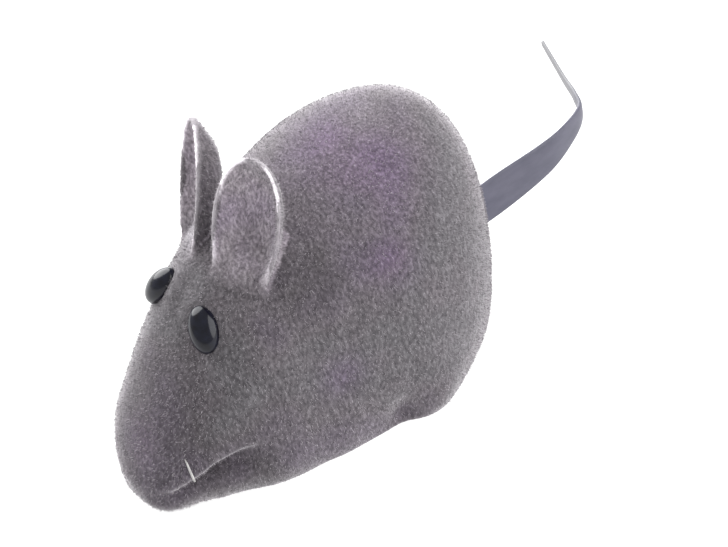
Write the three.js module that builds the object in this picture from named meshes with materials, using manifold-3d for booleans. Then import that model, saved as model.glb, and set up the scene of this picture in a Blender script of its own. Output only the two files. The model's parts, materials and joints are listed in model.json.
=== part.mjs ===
// Clockwork mouse: a flocked soft moulding over a clip-in base plate that carries a wind-up movement.
// Millimetres, +Z up. The nose points to -Y and the tail to +Y; the key is on the mouse's right, at -X.
// The origin is on the floor, under the middle of the drive axle.

import * as THREE from 'three';
import { mergeVertices } from 'three/addons/utils/BufferGeometryUtils.js';
import Module from 'manifold-3d';

const wasm = await Module();
wasm.setup();

// ---- driving dimensions ----

const GAP = 0.3; // clearance between neighbouring pieces
const BORE_GAP = 0.25; // radial clearance of an arbor in its hole

const NOSE_Y = -38.5;
const BODY_LENGTH = 70;
const BODY_WALL = 1.6;
const RIM_Z = 1.5; // lower edge of the moulding
const SECTION_POWER = 2.2; // exponent of the rounded cross-section
const BODY_STEPS = 20;
const BODY_SIDES = 24;
const CORE_START = -35.8; // y where the hollow behind the nose begins

const BASE_BOTTOM = 2;
const BASE_TOP = 3.6;

const MODULE = 0.5; // gear module
const TOOTH_SHARE = 0.4; // tooth thickness over circular pitch, on the pitch circle

const PLATE_INNER = 5.5; // |x| of a movement plate's inner face
const PLATE_THICK = 0.8;
const PLATE_OUTER = PLATE_INNER + PLATE_THICK;

const TYRE_RADIUS = 7;
const TYRE_INNER = 5.2;
const WHEEL_IN = 6.8; // |x| of a drive wheel's inner face
const WHEEL_OUT = 9.1;
const AXLE_RADIUS = 1;
const AXLE_END = WHEEL_OUT + 0.4;

const MAIN = [9.5, 16]; // [y, z] of each arbor
const DRIVE = [0, TYRE_RADIUS];
const GREAT_TEETH = 36;
const SECOND_TEETH = 26;
const THIRD_TEETH = 20;
const PINION_TEETH = 10;

const RATCHET_TEETH = 20;
const RATCHET_TIP = 4.2;
const RATCHET_ROOT = 3.55;

const ROLLER = [-23, 4]; // [y, z] of the front roller's axle
const ROLLER_RADIUS = 4;
const ROLLER_HALF_WIDTH = 3;

const SCREW_Y = [-31.2, 21.2];
const BOSS_RADIUS = 2;
const FRONT_BOSS_TOP = 24; // runs up into the snout
const REAR_BOSS_TOP = 10.5;
const SCREW_RADIUS = 0.9;

// y of each eye, and its angle round the cross-section, up from the side
const EYE_LEFT = [-22.7, 67.7 * Math.PI / 180];
const EYE_RIGHT = [-21.6, 64 * Math.PI / 180];
const EYE_TILT = 30 * Math.PI / 180; // of the long axis, forward from the section
const EYE_HALF = [2.4, 3.7, 2.4]; // half width, half height and height of the dome
const EYE_SINK = 0.8;

const EAR_BASE = [6.4, -16.6, 34.2];
const EAR_TIP = [7.6, -9.4, 55.7];
const EAR_FACING = [0.4, -0.87, 0.28];
const EAR_HALF = [5.5, 5.2]; // half width and depth of the cup
const EAR_RIM = 1.1;

// x, y, z and width of the strip
const TAIL_ROUTE = [
  [0, 26, 14.7, 6.2], [0.3, 36.3, 15.3, 8], [1, 46.5, 16.6, 6.9], [0.4, 52.5, 17.3, 5.5],
  [-2, 58.8, 17.9, 3.6], [-5.7, 61.3, 18.4, 2.4], [-10.2, 63.1, 18.9, 1.8], [-18.4, 66.2, 20.9, 1.2],
];
const TAIL_THICK = 0.9;

const WHISKER_ROOT = [-32.8, 30 * Math.PI / 180]; // y, and the angle round the cross-section
const WHISKER_LENGTH = 3.6;
const WHISKER_RADIUS = 0.28;
const WHISKER_AIM = [0.42, -0.12, -0.45]; // out of the cheek and down
const WHISKER_BURIED = 2.5; // length held in the moulding

// ---- materials: colour, roughness, metalness ----

const FLOCK = [0x8d8489, 1, 0];
const TAIL_GREY = [0x8fa3b8, 0.55, 0];
const BLACK_GLOSS = [0x101013, 0.08, 0];
const NYLON = [0xf2efe8, 0.3, 0];
const PLASTIC = [0x2b2b2e, 0.5, 0];
const WHEEL_PLASTIC = [0xb93a32, 0.4, 0];
const RUBBER = [0x1a1a1a, 0.85, 0];
const STEEL = [0xb9bcc0, 0.3, 1];
const DARK_STEEL = [0x6c6f75, 0.35, 1];
const BRASS = [0xcaa452, 0.3, 1];

const mouse = new THREE.Group();

function place(name, geometry, look) {
  const [color, roughness, metalness] = look;
  const mesh = new THREE.Mesh(geometry, new THREE.MeshStandardMaterial({ color, roughness, metalness }));
  mesh.name = name;
  mouse.add(mesh);
}

// ---- solids ----

function solid(geometry) {
  const bare = geometry.clone();
  bare.deleteAttribute('normal');
  bare.deleteAttribute('uv');
  const merged = mergeVertices(bare, 1e-4);
  const vertProperties = new Float32Array(merged.attributes.position.array);
  const triVerts = new Uint32Array(merged.index.array);
  return new wasm.Manifold(new wasm.Mesh({ numProp: 3, vertProperties, triVerts }));
}

function geometryOf(manifold) {
  const mesh = manifold.getMesh();
  const geometry = new THREE.BufferGeometry();
  geometry.setAttribute('position', new THREE.BufferAttribute(mesh.vertProperties, 3));
  geometry.setIndex(new THREE.BufferAttribute(mesh.triVerts, 1));
  geometry.computeVertexNormals();
  return geometry;
}

function join(...parts) {
  return parts.reduce((sum, part) => sum.add(part));
}

function box(x0, x1, y0, y1, z0, z1) {
  const geometry = new THREE.BoxGeometry(x1 - x0, y1 - y0, z1 - z0);
  return geometry.translate((x0 + x1) / 2, (y0 + y1) / 2, (z0 + z1) / 2);
}

// A lathe turned about the X axis; profile points are [x, radius].
function turnedX(profile, [y, z] = [0, 0], sides = 20) {
  const points = profile.map(([x, radius]) => new THREE.Vector2(radius, x));
  const geometry = new THREE.LatheGeometry(points, sides);
  return geometry.rotateZ(-Math.PI / 2).translate(0, y, z);
}

function rodX(x0, x1, radius, centre, sides = 16) {
  return turnedX([[x0, 0], [x0, radius], [x1, radius], [x1, 0]], centre, sides);
}

function rodZ(z0, z1, radius, [x, y], sides = 16) {
  const geometry = new THREE.CylinderGeometry(radius, radius, z1 - z0, sides);
  return geometry.rotateX(Math.PI / 2).translate(x, y, (z0 + z1) / 2);
}

const axis = (x, y, z) => new THREE.Vector3(x, y, z);
const OUTLINE_TO_YZ = new THREE.Matrix4().makeBasis(axis(0, 1, 0), axis(0, 0, 1), axis(1, 0, 0));

// A flat outline in [y, z], given thickness from x0 to x1.
function flatX(outline, x0, x1, holes = []) {
  const shape = new THREE.Shape(outline.map(([y, z]) => new THREE.Vector2(y, z)));
  shape.holes = holes.map((hole) => new THREE.Path(hole.map(([y, z]) => new THREE.Vector2(y, z))));
  const geometry = new THREE.ExtrudeGeometry(shape, { depth: x1 - x0, bevelEnabled: false });
  return geometry.applyMatrix4(OUTLINE_TO_YZ).translate(x0, 0, 0);
}

function circle([y, z], radius, sides = 20) {
  return Array.from({ length: sides }, (_, i) => {
    const angle = 2 * Math.PI * i / sides;
    return [y + radius * Math.cos(angle), z + radius * Math.sin(angle)];
  });
}

// ---- body shape ----

// A body dimension along the length: [distance from the nose, value]. It is smooth in the angle that
// rounds both ends, so a value that runs to zero there makes a dome.
function alongBody(points) {
  const angleOf = (distance) => Math.acos(1 - 2 * distance / BODY_LENGTH);
  const at = points.map(([distance, value]) => [angleOf(distance), value]);
  const slope = at.map((point, i) => {
    if (i === 0 || i === at.length - 1) {
      const other = i === 0 ? at[1] : at[i - 1];
      return (other[1] - point[1]) / (other[0] - point[0]);
    }
    return (at[i + 1][1] - at[i - 1][1]) / (at[i + 1][0] - at[i - 1][0]);
  });
  return (angle) => {
    let i = 0;
    while (i < at.length - 2 && angle > at[i + 1][0]) i += 1;
    const span = at[i + 1][0] - at[i][0];
    const t = Math.min(1, Math.max(0, (angle - at[i][0]) / span));
    const start = (1 + 2 * t) * (1 - t) ** 2 * at[i][1] + t * (1 - t) ** 2 * span * slope[i];
    const end = t * t * (3 - 2 * t) * at[i + 1][1] - t * t * (1 - t) * span * slope[i + 1];
    return start + end;
  };
}

const TOP = alongBody([[0, 6.2], [2, 11.7], [7, 20.9], [14, 30.7], [28, 41.9], [42, 45.8], [54, 46.5],
  [63, 43.9], [68, 36.1], [70, 21.8]]);
const HALF = alongBody([[0, 0], [2, 6.9], [7, 10.6], [14, 12.5], [28, 16.1], [42, 19.9], [49, 20.3],
  [56, 18.5], [63, 13.7], [68, 7.2], [70, 0]]);
const WIDEST = alongBody([[0, 6.2], [2, 7], [7, 9.4], [14, 11.5], [28, 14.8], [42, 18.2], [56, 20.6],
  [70, 21.8]]);
// Lowest line of the whole ovoid; the moulding is cut off flat at its rim, well above most of this.
const BOTTOM = alongBody([[0, 6.2], [2, 1], [7, -1.8], [14, -3.6], [21, -6.5], [28, -9.5], [42, -14.5],
  [49, -13], [56, -8], [63, -4], [68, 9], [70, 21.8]]);

// A point of the outer surface: angle runs nose to rump, turn goes round the cross-section from +X.
function bodyPoint(angle, turn) {
  const power = 2 / SECTION_POWER;
  const across = Math.sign(Math.cos(turn)) * Math.abs(Math.cos(turn)) ** power;
  const rise = Math.sign(Math.sin(turn)) * Math.abs(Math.sin(turn)) ** power;
  const widest = WIDEST(angle);
  const reach = rise > 0 ? TOP(angle) - widest : widest - BOTTOM(angle);
  const y = NOSE_Y + BODY_LENGTH * (1 - Math.cos(angle)) / 2;
  return new THREE.Vector3(HALF(angle) * across, y, widest + reach * rise);
}

function bodyNormal(angle, turn) {
  const step = 0.02;
  const along = bodyPoint(angle + step, turn).sub(bodyPoint(angle - step, turn));
  const round = bodyPoint(angle, turn + step).sub(bodyPoint(angle, turn - step));
  return along.cross(round).normalize();
}

const angleAtY = (y) => Math.acos(1 - 2 * (y - NOSE_Y) / BODY_LENGTH);

// The closed body, drawn in by a distance along its surface normals.
function bodySolid(inset) {
  const positions = [NOSE_Y, NOSE_Y + BODY_LENGTH].flatMap((y, i) => {
    const end = bodyPoint(i * Math.PI, 0);
    return [0, y + (i ? -inset : inset), end.z];
  });
  const indices = [];
  const ring = (row, column) => 2 + (row - 1) * BODY_SIDES + column % BODY_SIDES;
  for (let row = 1; row < BODY_STEPS; row += 1) {
    const angle = Math.PI * row / BODY_STEPS;
    for (let column = 0; column < BODY_SIDES; column += 1) {
      const turn = 2 * Math.PI * column / BODY_SIDES;
      const point = bodyPoint(angle, turn).addScaledVector(bodyNormal(angle, turn), -inset);
      positions.push(point.x, point.y, point.z);
      if (row > 1) {
        const [a, b] = [ring(row - 1, column), ring(row - 1, column + 1)];
        const [c, d] = [ring(row, column), ring(row, column + 1)];
        indices.push(a, d, b, a, c, d);
      }
    }
  }
  for (let column = 0; column < BODY_SIDES; column += 1) {
    indices.push(0, ring(1, column), ring(1, column + 1));
    indices.push(1, ring(BODY_STEPS - 1, column + 1), ring(BODY_STEPS - 1, column));
  }
  const geometry = new THREE.BufferGeometry();
  geometry.setAttribute('position', new THREE.Float32BufferAttribute(positions, 3));
  geometry.setIndex(indices);
  return solid(geometry);
}

// The hollow of the body, or what fits in it: drawn in from the outer surface, and flat behind the nose.
function bodyCore(inset) {
  return bodySolid(inset).intersect(solid(box(-40, 40, CORE_START, 60, -20, 60)));
}

// Axes of a piece standing on the body: out along its third axis, up the section along its second.
function seatFrame(y, turn, lift) {
  const angle = angleAtY(y);
  const out = bodyNormal(angle, turn);
  const up = bodyPoint(angle, turn + 0.05).sub(bodyPoint(angle, turn - 0.05));
  up.addScaledVector(out, -up.dot(out)).normalize();
  const side = new THREE.Vector3().crossVectors(up, out);
  const frame = new THREE.Matrix4().makeBasis(side, up, out);
  return frame.setPosition(bodyPoint(angle, turn).addScaledVector(out, lift));
}

// The same piece on the mouse's right, with its faces turned to point out again.
function mirrored(geometry) {
  return geometryOf(solid(geometry).mirror([1, 0, 0]));
}

// ---- body moulding ----

const EYE_STEM = [0.8, 4.2]; // radius and length of the eye's stem
const DOME_STEPS = 5;

// A glossy oval dome on a stem with a barbed end.
function eyeGeometry(seat, grow) {
  const [halfWidth, halfHeight, dome] = EYE_HALF;
  const [stem, length] = EYE_STEM;
  const profile = [new THREE.Vector2(0, -length - grow), new THREE.Vector2(stem + grow, -length - grow)];
  profile.push(new THREE.Vector2(stem + grow, -grow), new THREE.Vector2(halfHeight + grow, -grow));
  for (let i = 0; i <= DOME_STEPS; i += 1) {
    const angle = Math.PI / 2 * i / DOME_STEPS;
    const radius = (halfHeight + grow) * Math.cos(angle);
    profile.push(new THREE.Vector2(i === DOME_STEPS ? 0 : radius, 0.4 + (dome - 0.4 + grow) * Math.sin(angle)));
  }
  const geometry = new THREE.LatheGeometry(profile, 16);
  geometry.rotateX(Math.PI / 2).scale(halfWidth / halfHeight, 1, 1);
  return geometry.rotateZ(-EYE_TILT).applyMatrix4(seatFrame(...seat, -EYE_SINK));
}

function earSolid() {
  const base = new THREE.Vector3(...EAR_BASE);
  const tip = new THREE.Vector3(...EAR_TIP);
  const long = tip.clone().sub(base);
  const halfLength = long.length() / 2;
  const facing = new THREE.Vector3(...EAR_FACING);
  long.normalize();
  facing.addScaledVector(long, -facing.dot(long)).normalize();
  const wide = new THREE.Vector3().crossVectors(long, facing);
  const frame = new THREE.Matrix4().makeBasis(wide, long, facing);
  frame.setPosition(base.add(tip).multiplyScalar(0.5));
  const [halfWidth, depth] = EAR_HALF;
  const cup = (inset) => {
    const round = new THREE.SphereGeometry(1, 16, 12);
    round.scale(halfWidth - inset, halfLength - inset, depth - inset);
    return solid(round.applyMatrix4(frame));
  };
  const front = box(-halfWidth, halfWidth, -halfLength, halfLength, 0.4, depth + 1);
  return cup(0).subtract(cup(EAR_RIM)).subtract(solid(front.applyMatrix4(frame)));
}

function whiskerGeometry(radius, inside) {
  const geometry = new THREE.CylinderGeometry(radius, radius, WHISKER_LENGTH + inside, 10);
  geometry.translate(0, (WHISKER_LENGTH - inside) / 2, 0);
  const [y, turn] = WHISKER_ROOT;
  const angle = angleAtY(y);
  const root = bodyPoint(angle, turn);
  const direction = new THREE.Vector3(...WHISKER_AIM).normalize();
  const aim = new THREE.Quaternion().setFromUnitVectors(new THREE.Vector3(0, 1, 0), direction);
  return geometry.applyQuaternion(aim).translate(root.x, root.y, root.z);
}

const MOUTH = { bottom: 7.7, top: 9.2, depth: 0.9, back: -22 };
const KEY_HOLE = 2.4; // radius of the moulding's hole for the key arbor
const TAIL_SLOT = [1.8, 9]; // width and height of the slot for the tail's root
const TAIL_SLOT_RISE = 0.5; // of the slot's middle over the tail's first point

function bodyMoulding() {
  const outer = bodySolid(0);
  const ear = earSolid();
  const core = bodyCore(BODY_WALL);
  const skin = join(outer, ear, ear.mirror([1, 0, 0])).subtract(core);
  const bosses = SCREW_Y.map((y) => {
    const top = y < 0 ? FRONT_BOSS_TOP : REAR_BOSS_TOP;
    return solid(rodZ(BASE_TOP + GAP, top, BOSS_RADIUS, [0, y]));
  });
  const web = solid(box(-0.7, 0.7, SCREW_Y[1], 33, BASE_TOP + GAP, 8.2));
  const posts = join(...bosses, web).intersect(bodySolid(0.2));
  const bores = SCREW_Y.map((y) => solid(rodZ(0, 9.4, SCREW_RADIUS + GAP, [0, y], 16)));
  const lips = solid(box(-20, 20, NOSE_Y - 1, MOUTH.back, MOUTH.bottom, MOUTH.top));
  const groove = lips.subtract(bodySolid(MOUTH.depth));
  const eyeSeats = [solid(eyeGeometry(EYE_LEFT, GAP)), solid(eyeGeometry(EYE_RIGHT, GAP)).mirror([1, 0, 0])];
  const whiskerHole = solid(whiskerGeometry(WHISKER_RADIUS + GAP, 4));
  const [slotWide, slotHigh] = TAIL_SLOT;
  const tailZ = TAIL_ROUTE[0][2] + TAIL_SLOT_RISE;
  const slot = solid(box(-slotWide / 2, slotWide / 2, 25, 34, tailZ - slotHigh / 2, tailZ + slotHigh / 2));
  const cuts = join(
    ...bores, groove, ...eyeSeats, whiskerHole, slot,
    solid(rodX(-26, -10, KEY_HOLE, MAIN)), solid(box(-40, 40, -60, 60, -20, RIM_Z)),
  );
  return join(skin, posts).subtract(cuts);
}

place('body_shell', geometryOf(bodyMoulding()), FLOCK);

place('eye_left', eyeGeometry(EYE_LEFT, 0), BLACK_GLOSS);
place('eye_right', mirrored(eyeGeometry(EYE_RIGHT, 0)), BLACK_GLOSS);
place('whisker', whiskerGeometry(WHISKER_RADIUS, WHISKER_BURIED), NYLON);

// A flat strip on edge that thins to its tip, with a cross bar behind the slot.
function tailGeometry() {
  const centres = TAIL_ROUTE.map(([x, y, z]) => new THREE.Vector3(x, y, z));
  const route = new THREE.CatmullRomCurve3(centres);
  const spans = TAIL_ROUTE.length - 1;
  const steps = 4 * spans;
  const positions = [];
  const indices = [];
  for (let i = 0; i <= steps; i += 1) {
    const at = route.getPoint(i / steps);
    const along = route.getTangent(i / steps);
    const side = new THREE.Vector3(along.y, -along.x, 0).normalize();
    const span = Math.min(spans - 1, Math.floor(i * spans / steps));
    const [from, to] = [TAIL_ROUTE[span][3], TAIL_ROUTE[span + 1][3]];
    const halfWide = (from + (to - from) * (i * spans / steps - span)) / 2;
    for (const [across, up] of [[-1, -1], [1, -1], [1, 1], [-1, 1]]) {
      const corner = at.clone().addScaledVector(side, across * TAIL_THICK / 2);
      positions.push(corner.x, corner.y, corner.z + up * halfWide);
    }
    for (let k = 0; i > 0 && k < 4; k += 1) {
      const [a, b] = [4 * (i - 1) + k, 4 * (i - 1) + (k + 1) % 4];
      indices.push(a, b + 4, b, a, a + 4, b + 4);
    }
  }
  const last = 4 * steps;
  indices.push(0, 1, 2, 0, 2, 3, last, last + 2, last + 1, last, last + 3, last + 2);
  const strip = new THREE.BufferGeometry();
  strip.setAttribute('position', new THREE.Float32BufferAttribute(positions, 3));
  strip.setIndex(indices);
  const [x, y, z] = TAIL_ROUTE[0];
  return geometryOf(solid(strip).add(solid(box(x - 2.2, x + 2.2, y - 0.6, y + 0.6, z - 1.5, z + 1.5))));
}

place('tail', tailGeometry(), TAIL_GREY);

// ---- base plate, screws and front roller ----

const TABS = [[-10.6, -8.4], [12, 15.5]]; // y ranges of the tabs under each movement plate
const BRACKET = { inner: 3.9, outer: 5.1, halfLength: 2.4, top: 6.2 };
const FRONT_AXLE_RADIUS = 0.8;

function basePlate() {
  const slab = solid(box(-30, 30, CORE_START + GAP, 50, BASE_BOTTOM, BASE_TOP)).intersect(bodyCore(BODY_WALL + 0.4));
  const [rollerY, rollerZ] = ROLLER;
  const { inner, outer, halfLength, top } = BRACKET;
  const brackets = [-1, 1].map((side) => {
    const [x0, x1] = side < 0 ? [-outer, -inner] : [inner, outer];
    return solid(box(x0, x1, rollerY - halfLength, rollerY + halfLength, BASE_TOP - 0.4, top));
  });
  const wheelSlots = [-1, 1].map((side) => {
    const x = side * (WHEEL_IN + WHEEL_OUT) / 2;
    return solid(box(x - 1.6, x + 1.6, -6.9, 6.9, 0, 6));
  });
  const tabSlots = [-1, 1].flatMap((side) => TABS.map(([y0, y1]) => {
    const x = side * (PLATE_INNER + PLATE_OUTER) / 2;
    return solid(box(x - 0.7, x + 0.7, y0 - GAP, y1 + GAP, 0, 6));
  }));
  const cuts = [
    solid(box(-3.3, 3.3, rollerY - 4.3, rollerY + 4.3, 0, 6)),
    solid(rodX(-6, 6, FRONT_AXLE_RADIUS + BORE_GAP, [rollerY, rollerZ])),
    ...SCREW_Y.map((y) => solid(rodZ(0, 6, SCREW_RADIUS + GAP, [0, y], 16))),
  ];
  return join(slab, ...brackets).subtract(join(...cuts, ...wheelSlots, ...tabSlots));
}

place('base_plate', geometryOf(basePlate()), PLASTIC);

SCREW_Y.forEach((y, i) => {
  const shank = solid(rodZ(BASE_BOTTOM - GAP - 0.2, 9, SCREW_RADIUS, [0, y], 16));
  const head = solid(rodZ(BASE_BOTTOM - GAP - 0.8, BASE_BOTTOM - GAP, 1.7, [0, y], 20));
  place(i ? 'base_screw_rear' : 'base_screw_front', geometryOf(join(head, shank)), STEEL);
});

place('front_axle', rodX(-5.5, 5.5, FRONT_AXLE_RADIUS, ROLLER, 16), STEEL);
place('front_roller', turnedX([
  [-ROLLER_HALF_WIDTH, FRONT_AXLE_RADIUS + BORE_GAP], [-ROLLER_HALF_WIDTH, ROLLER_RADIUS - 0.5],
  [-ROLLER_HALF_WIDTH + 0.5, ROLLER_RADIUS], [ROLLER_HALF_WIDTH - 0.5, ROLLER_RADIUS],
  [ROLLER_HALF_WIDTH, ROLLER_RADIUS - 0.5], [ROLLER_HALF_WIDTH, FRONT_AXLE_RADIUS + BORE_GAP],
  [-ROLLER_HALF_WIDTH, FRONT_AXLE_RADIUS + BORE_GAP],
], ROLLER, 24), WHEEL_PLASTIC);

// ---- gear train ----

const pitchRadius = (teeth) => teeth * MODULE / 2;

// Where two circles round a and b cross, on the side of a turned left from b.
function crossing(a, reachA, b, reachB, side) {
  const [dy, dz] = [b[0] - a[0], b[1] - a[1]];
  const apart = Math.hypot(dy, dz);
  const along = (reachA ** 2 - reachB ** 2 + apart ** 2) / (2 * apart);
  const off = side * Math.sqrt(reachA ** 2 - along ** 2);
  return [a[0] + (dy * along - dz * off) / apart, a[1] + (dz * along + dy * off) / apart];
}

const SECOND_REACH = pitchRadius(GREAT_TEETH) + pitchRadius(PINION_TEETH);
const THIRD_REACH = pitchRadius(SECOND_TEETH) + pitchRadius(PINION_TEETH);
const DRIVE_REACH = pitchRadius(THIRD_TEETH) + pitchRadius(PINION_TEETH);
const SECOND_DIRECTION = 150.4 * Math.PI / 180;
const SECOND = [
  MAIN[0] + SECOND_REACH * Math.cos(SECOND_DIRECTION), MAIN[1] + SECOND_REACH * Math.sin(SECOND_DIRECTION),
];
const THIRD = crossing(SECOND, THIRD_REACH, DRIVE, DRIVE_REACH, -1);

const direction = (from, to) => Math.atan2(to[1] - from[1], to[0] - from[0]);

// The phase that puts a gap of the second gear against a tooth of the first, or the other way round.
function meshPhase(from, teethA, phaseA, to, teethB) {
  const towards = direction(from, to);
  const share = (towards - phaseA) * teethA / (2 * Math.PI);
  return towards + Math.PI + (share - 0.5) * 2 * Math.PI / teethB;
}

function gearOutline(teeth, phase, centre) {
  const pitch = 2 * Math.PI / teeth;
  const radius = pitchRadius(teeth);
  const share = TOOTH_SHARE / 2;
  const [root, tip] = [radius - 1.25 * MODULE, radius + 0.9 * MODULE];
  const corners = [[-share * 1.5, root], [-share * 0.6, tip], [share * 0.6, tip], [share * 1.5, root]];
  const outline = [];
  for (let i = 0; i < teeth; i += 1) {
    for (const [offset, reach] of corners) {
      const angle = phase + (i + offset) * pitch;
      outline.push([centre[0] + reach * Math.cos(angle), centre[1] + reach * Math.sin(angle)]);
    }
  }
  return outline;
}

function gearSolid(teeth, phase, centre, x0, x1, bore) {
  return solid(flatX(gearOutline(teeth, phase, centre), x0, x1, [circle(centre, bore)]));
}

// Lightening holes round a wheel.
function lighten(wheel, centre, count, reach, radius, x0, x1) {
  const holes = Array.from({ length: count }, (_, i) => {
    const angle = 2 * Math.PI * (i + 0.5) / count;
    const at = [centre[0] + reach * Math.cos(angle), centre[1] + reach * Math.sin(angle)];
    return solid(rodX(x0 - 1, x1 + 1, radius, at, 10));
  });
  return wheel.subtract(join(...holes));
}

const PHASE_GREAT = 0;
const PHASE_PINION_2 = meshPhase(MAIN, GREAT_TEETH, PHASE_GREAT, SECOND, PINION_TEETH);
const PHASE_SECOND = 0;
const PHASE_PINION_3 = meshPhase(SECOND, SECOND_TEETH, PHASE_SECOND, THIRD, PINION_TEETH);
const PHASE_THIRD = 0;
const PHASE_DRIVE = meshPhase(THIRD, THIRD_TEETH, PHASE_THIRD, DRIVE, PINION_TEETH);

const ARBOR_RADIUS = 0.8;
const ARBOR_END = PLATE_OUTER - 0.1;
const MAIN_RADIUS = 1.6;
const GREAT_X = [1.3, 2.4];
const SECOND_X = [3.1, 4];
const THIRD_X = [-2.2, -1.2];

// An arbor with its pinion's leaves cut on it.
function arborWithPinion(centre, phase, x0, x1, radius, end) {
  const leaves = solid(flatX(gearOutline(PINION_TEETH, phase, centre), x0, x1));
  return join(solid(rodX(-end, end, radius, centre, 16)), leaves);
}

const secondArbor = arborWithPinion(SECOND, PHASE_PINION_2, 1.1, 2.6, ARBOR_RADIUS, ARBOR_END);
const thirdArbor = arborWithPinion(THIRD, PHASE_PINION_3, 2.9, 4.3, ARBOR_RADIUS, ARBOR_END);
const driveAxle = arborWithPinion(DRIVE, PHASE_DRIVE, -2.4, -1, AXLE_RADIUS, AXLE_END);
place('second_arbor', geometryOf(secondArbor), STEEL);
place('third_arbor', geometryOf(thirdArbor), STEEL);
place('drive_axle', geometryOf(driveAxle), STEEL);

const secondWheel = gearSolid(SECOND_TEETH, PHASE_SECOND, SECOND, ...SECOND_X, ARBOR_RADIUS + BORE_GAP);
const thirdWheel = gearSolid(THIRD_TEETH, PHASE_THIRD, THIRD, ...THIRD_X, ARBOR_RADIUS + BORE_GAP);
place('second_wheel', geometryOf(lighten(secondWheel, SECOND, 4, 3.6, 1.3, ...SECOND_X)), BRASS);
place('third_wheel', geometryOf(lighten(thirdWheel, THIRD, 4, 2.7, 0.9, ...THIRD_X)), BRASS);

// ---- great wheel, ratchet and click ----

const RATCHET_X = [0.1, 1];
const CLICK_AT = 52 * Math.PI / 180; // direction of the click's pivot round the great wheel
const CLICK_REACH = 6.6;
const CLICK_PIVOT = [MAIN[0] + CLICK_REACH * Math.cos(CLICK_AT), MAIN[1] + CLICK_REACH * Math.sin(CLICK_AT)];
const PIVOT_RADIUS = 0.55;
const FOOT_PIN = 0.4; // radius of the pin that holds the click spring
const FOOT_AT = 144 * Math.PI / 180;
const SPRING_FOOT = [MAIN[0] + 6.1 * Math.cos(FOOT_AT), MAIN[1] + 6.1 * Math.sin(FOOT_AT)];

function greatWheel() {
  const wheel = gearSolid(GREAT_TEETH, PHASE_GREAT, MAIN, ...GREAT_X, MAIN_RADIUS + BORE_GAP);
  const pierced = lighten(wheel, MAIN, 5, 6.1, 1.3, ...GREAT_X);
  const pad = solid(rodX(...GREAT_X, 1.6, CLICK_PIVOT));
  const stud = solid(rodX(0, GREAT_X[1], PIVOT_RADIUS, CLICK_PIVOT));
  const footHole = solid(rodX(0.5, 3, FOOT_PIN + BORE_GAP, SPRING_FOOT, 12));
  return join(pierced, pad, stud).subtract(footHole);
}

place('great_wheel', geometryOf(greatWheel()), BRASS);

// Saw teeth: the steep face of each tooth points along decreasing angle.
function ratchetOutline() {
  const pitch = 2 * Math.PI / RATCHET_TEETH;
  const first = Math.PI / 2;
  return Array.from({ length: RATCHET_TEETH }, (_, i) => [
    [first + i * pitch, RATCHET_TIP], [first + (i + 0.85) * pitch, RATCHET_ROOT],
    [first + (i + 0.95) * pitch, RATCHET_ROOT],
  ]).flat().map(([angle, reach]) => [MAIN[0] + reach * Math.cos(angle), MAIN[1] + reach * Math.sin(angle)]);
}

const RATCHET_BORE = MAIN_RADIUS + BORE_GAP;
place('ratchet_wheel', flatX(ratchetOutline(), ...RATCHET_X, [circle(MAIN, RATCHET_BORE)]), DARK_STEEL);

// The click reaches from its pivot to a tooth gap just past the top of the ratchet.
function clickSolid() {
  const noseTurn = Math.PI / 2 - 0.12 * 2 * Math.PI / RATCHET_TEETH;
  const onRatchet = (turn, reach) => [MAIN[0] + reach * Math.cos(turn), MAIN[1] + reach * Math.sin(turn)];
  const arm = flatX([
    onRatchet(noseTurn - 0.02, RATCHET_ROOT + GAP), onRatchet(noseTurn - 0.09, RATCHET_ROOT + GAP + 0.25),
    [CLICK_PIVOT[0] - 0.5, CLICK_PIVOT[1] - 1.2], [CLICK_PIVOT[0] + 0.9, CLICK_PIVOT[1] - 0.9],
    [CLICK_PIVOT[0] + 1.1, CLICK_PIVOT[1] + 0.6], [CLICK_PIVOT[0] - 0.2, CLICK_PIVOT[1] + 1.2],
    onRatchet(noseTurn, RATCHET_TIP + 0.9),
  ].reverse(), ...RATCHET_X);
  return solid(arm).subtract(solid(rodX(-1, 2, PIVOT_RADIUS + 0.2, CLICK_PIVOT, 16)));
}

place('click', geometryOf(clickSolid()), STEEL);

// A thin blade from a pinned foot to the outer edge of the click.
function clickSpring() {
  const [y, z] = SPRING_FOOT;
  const rest = [MAIN[0] + 0.3, MAIN[1] + RATCHET_TIP + 1.7];
  const blade = flatX([[y, z - 0.15], rest, [rest[0], rest[1] + 0.25], [y, z + 0.5]], ...RATCHET_X);
  const foot = solid(rodX(...RATCHET_X, 0.9, SPRING_FOOT, 12));
  return join(solid(blade), foot, solid(rodX(RATCHET_X[0], GREAT_X[1], FOOT_PIN, SPRING_FOOT, 12)));
}

place('click_spring', geometryOf(clickSpring()), STEEL);

// ---- winding arbor, key and mainspring ----

const KEY_HUB = [-21, -26.6];
const KEY_HUB_RADIUS = 2.6;
const KEY_BORE_END = -25.4;

place('winding_arbor', turnedX([
  [KEY_BORE_END + GAP, 0], [KEY_BORE_END + GAP, 1.4], [-7, 1.4], [-7, MAIN_RADIUS], [ARBOR_END, MAIN_RADIUS],
  [ARBOR_END, 0],
], MAIN), STEEL);

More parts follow.
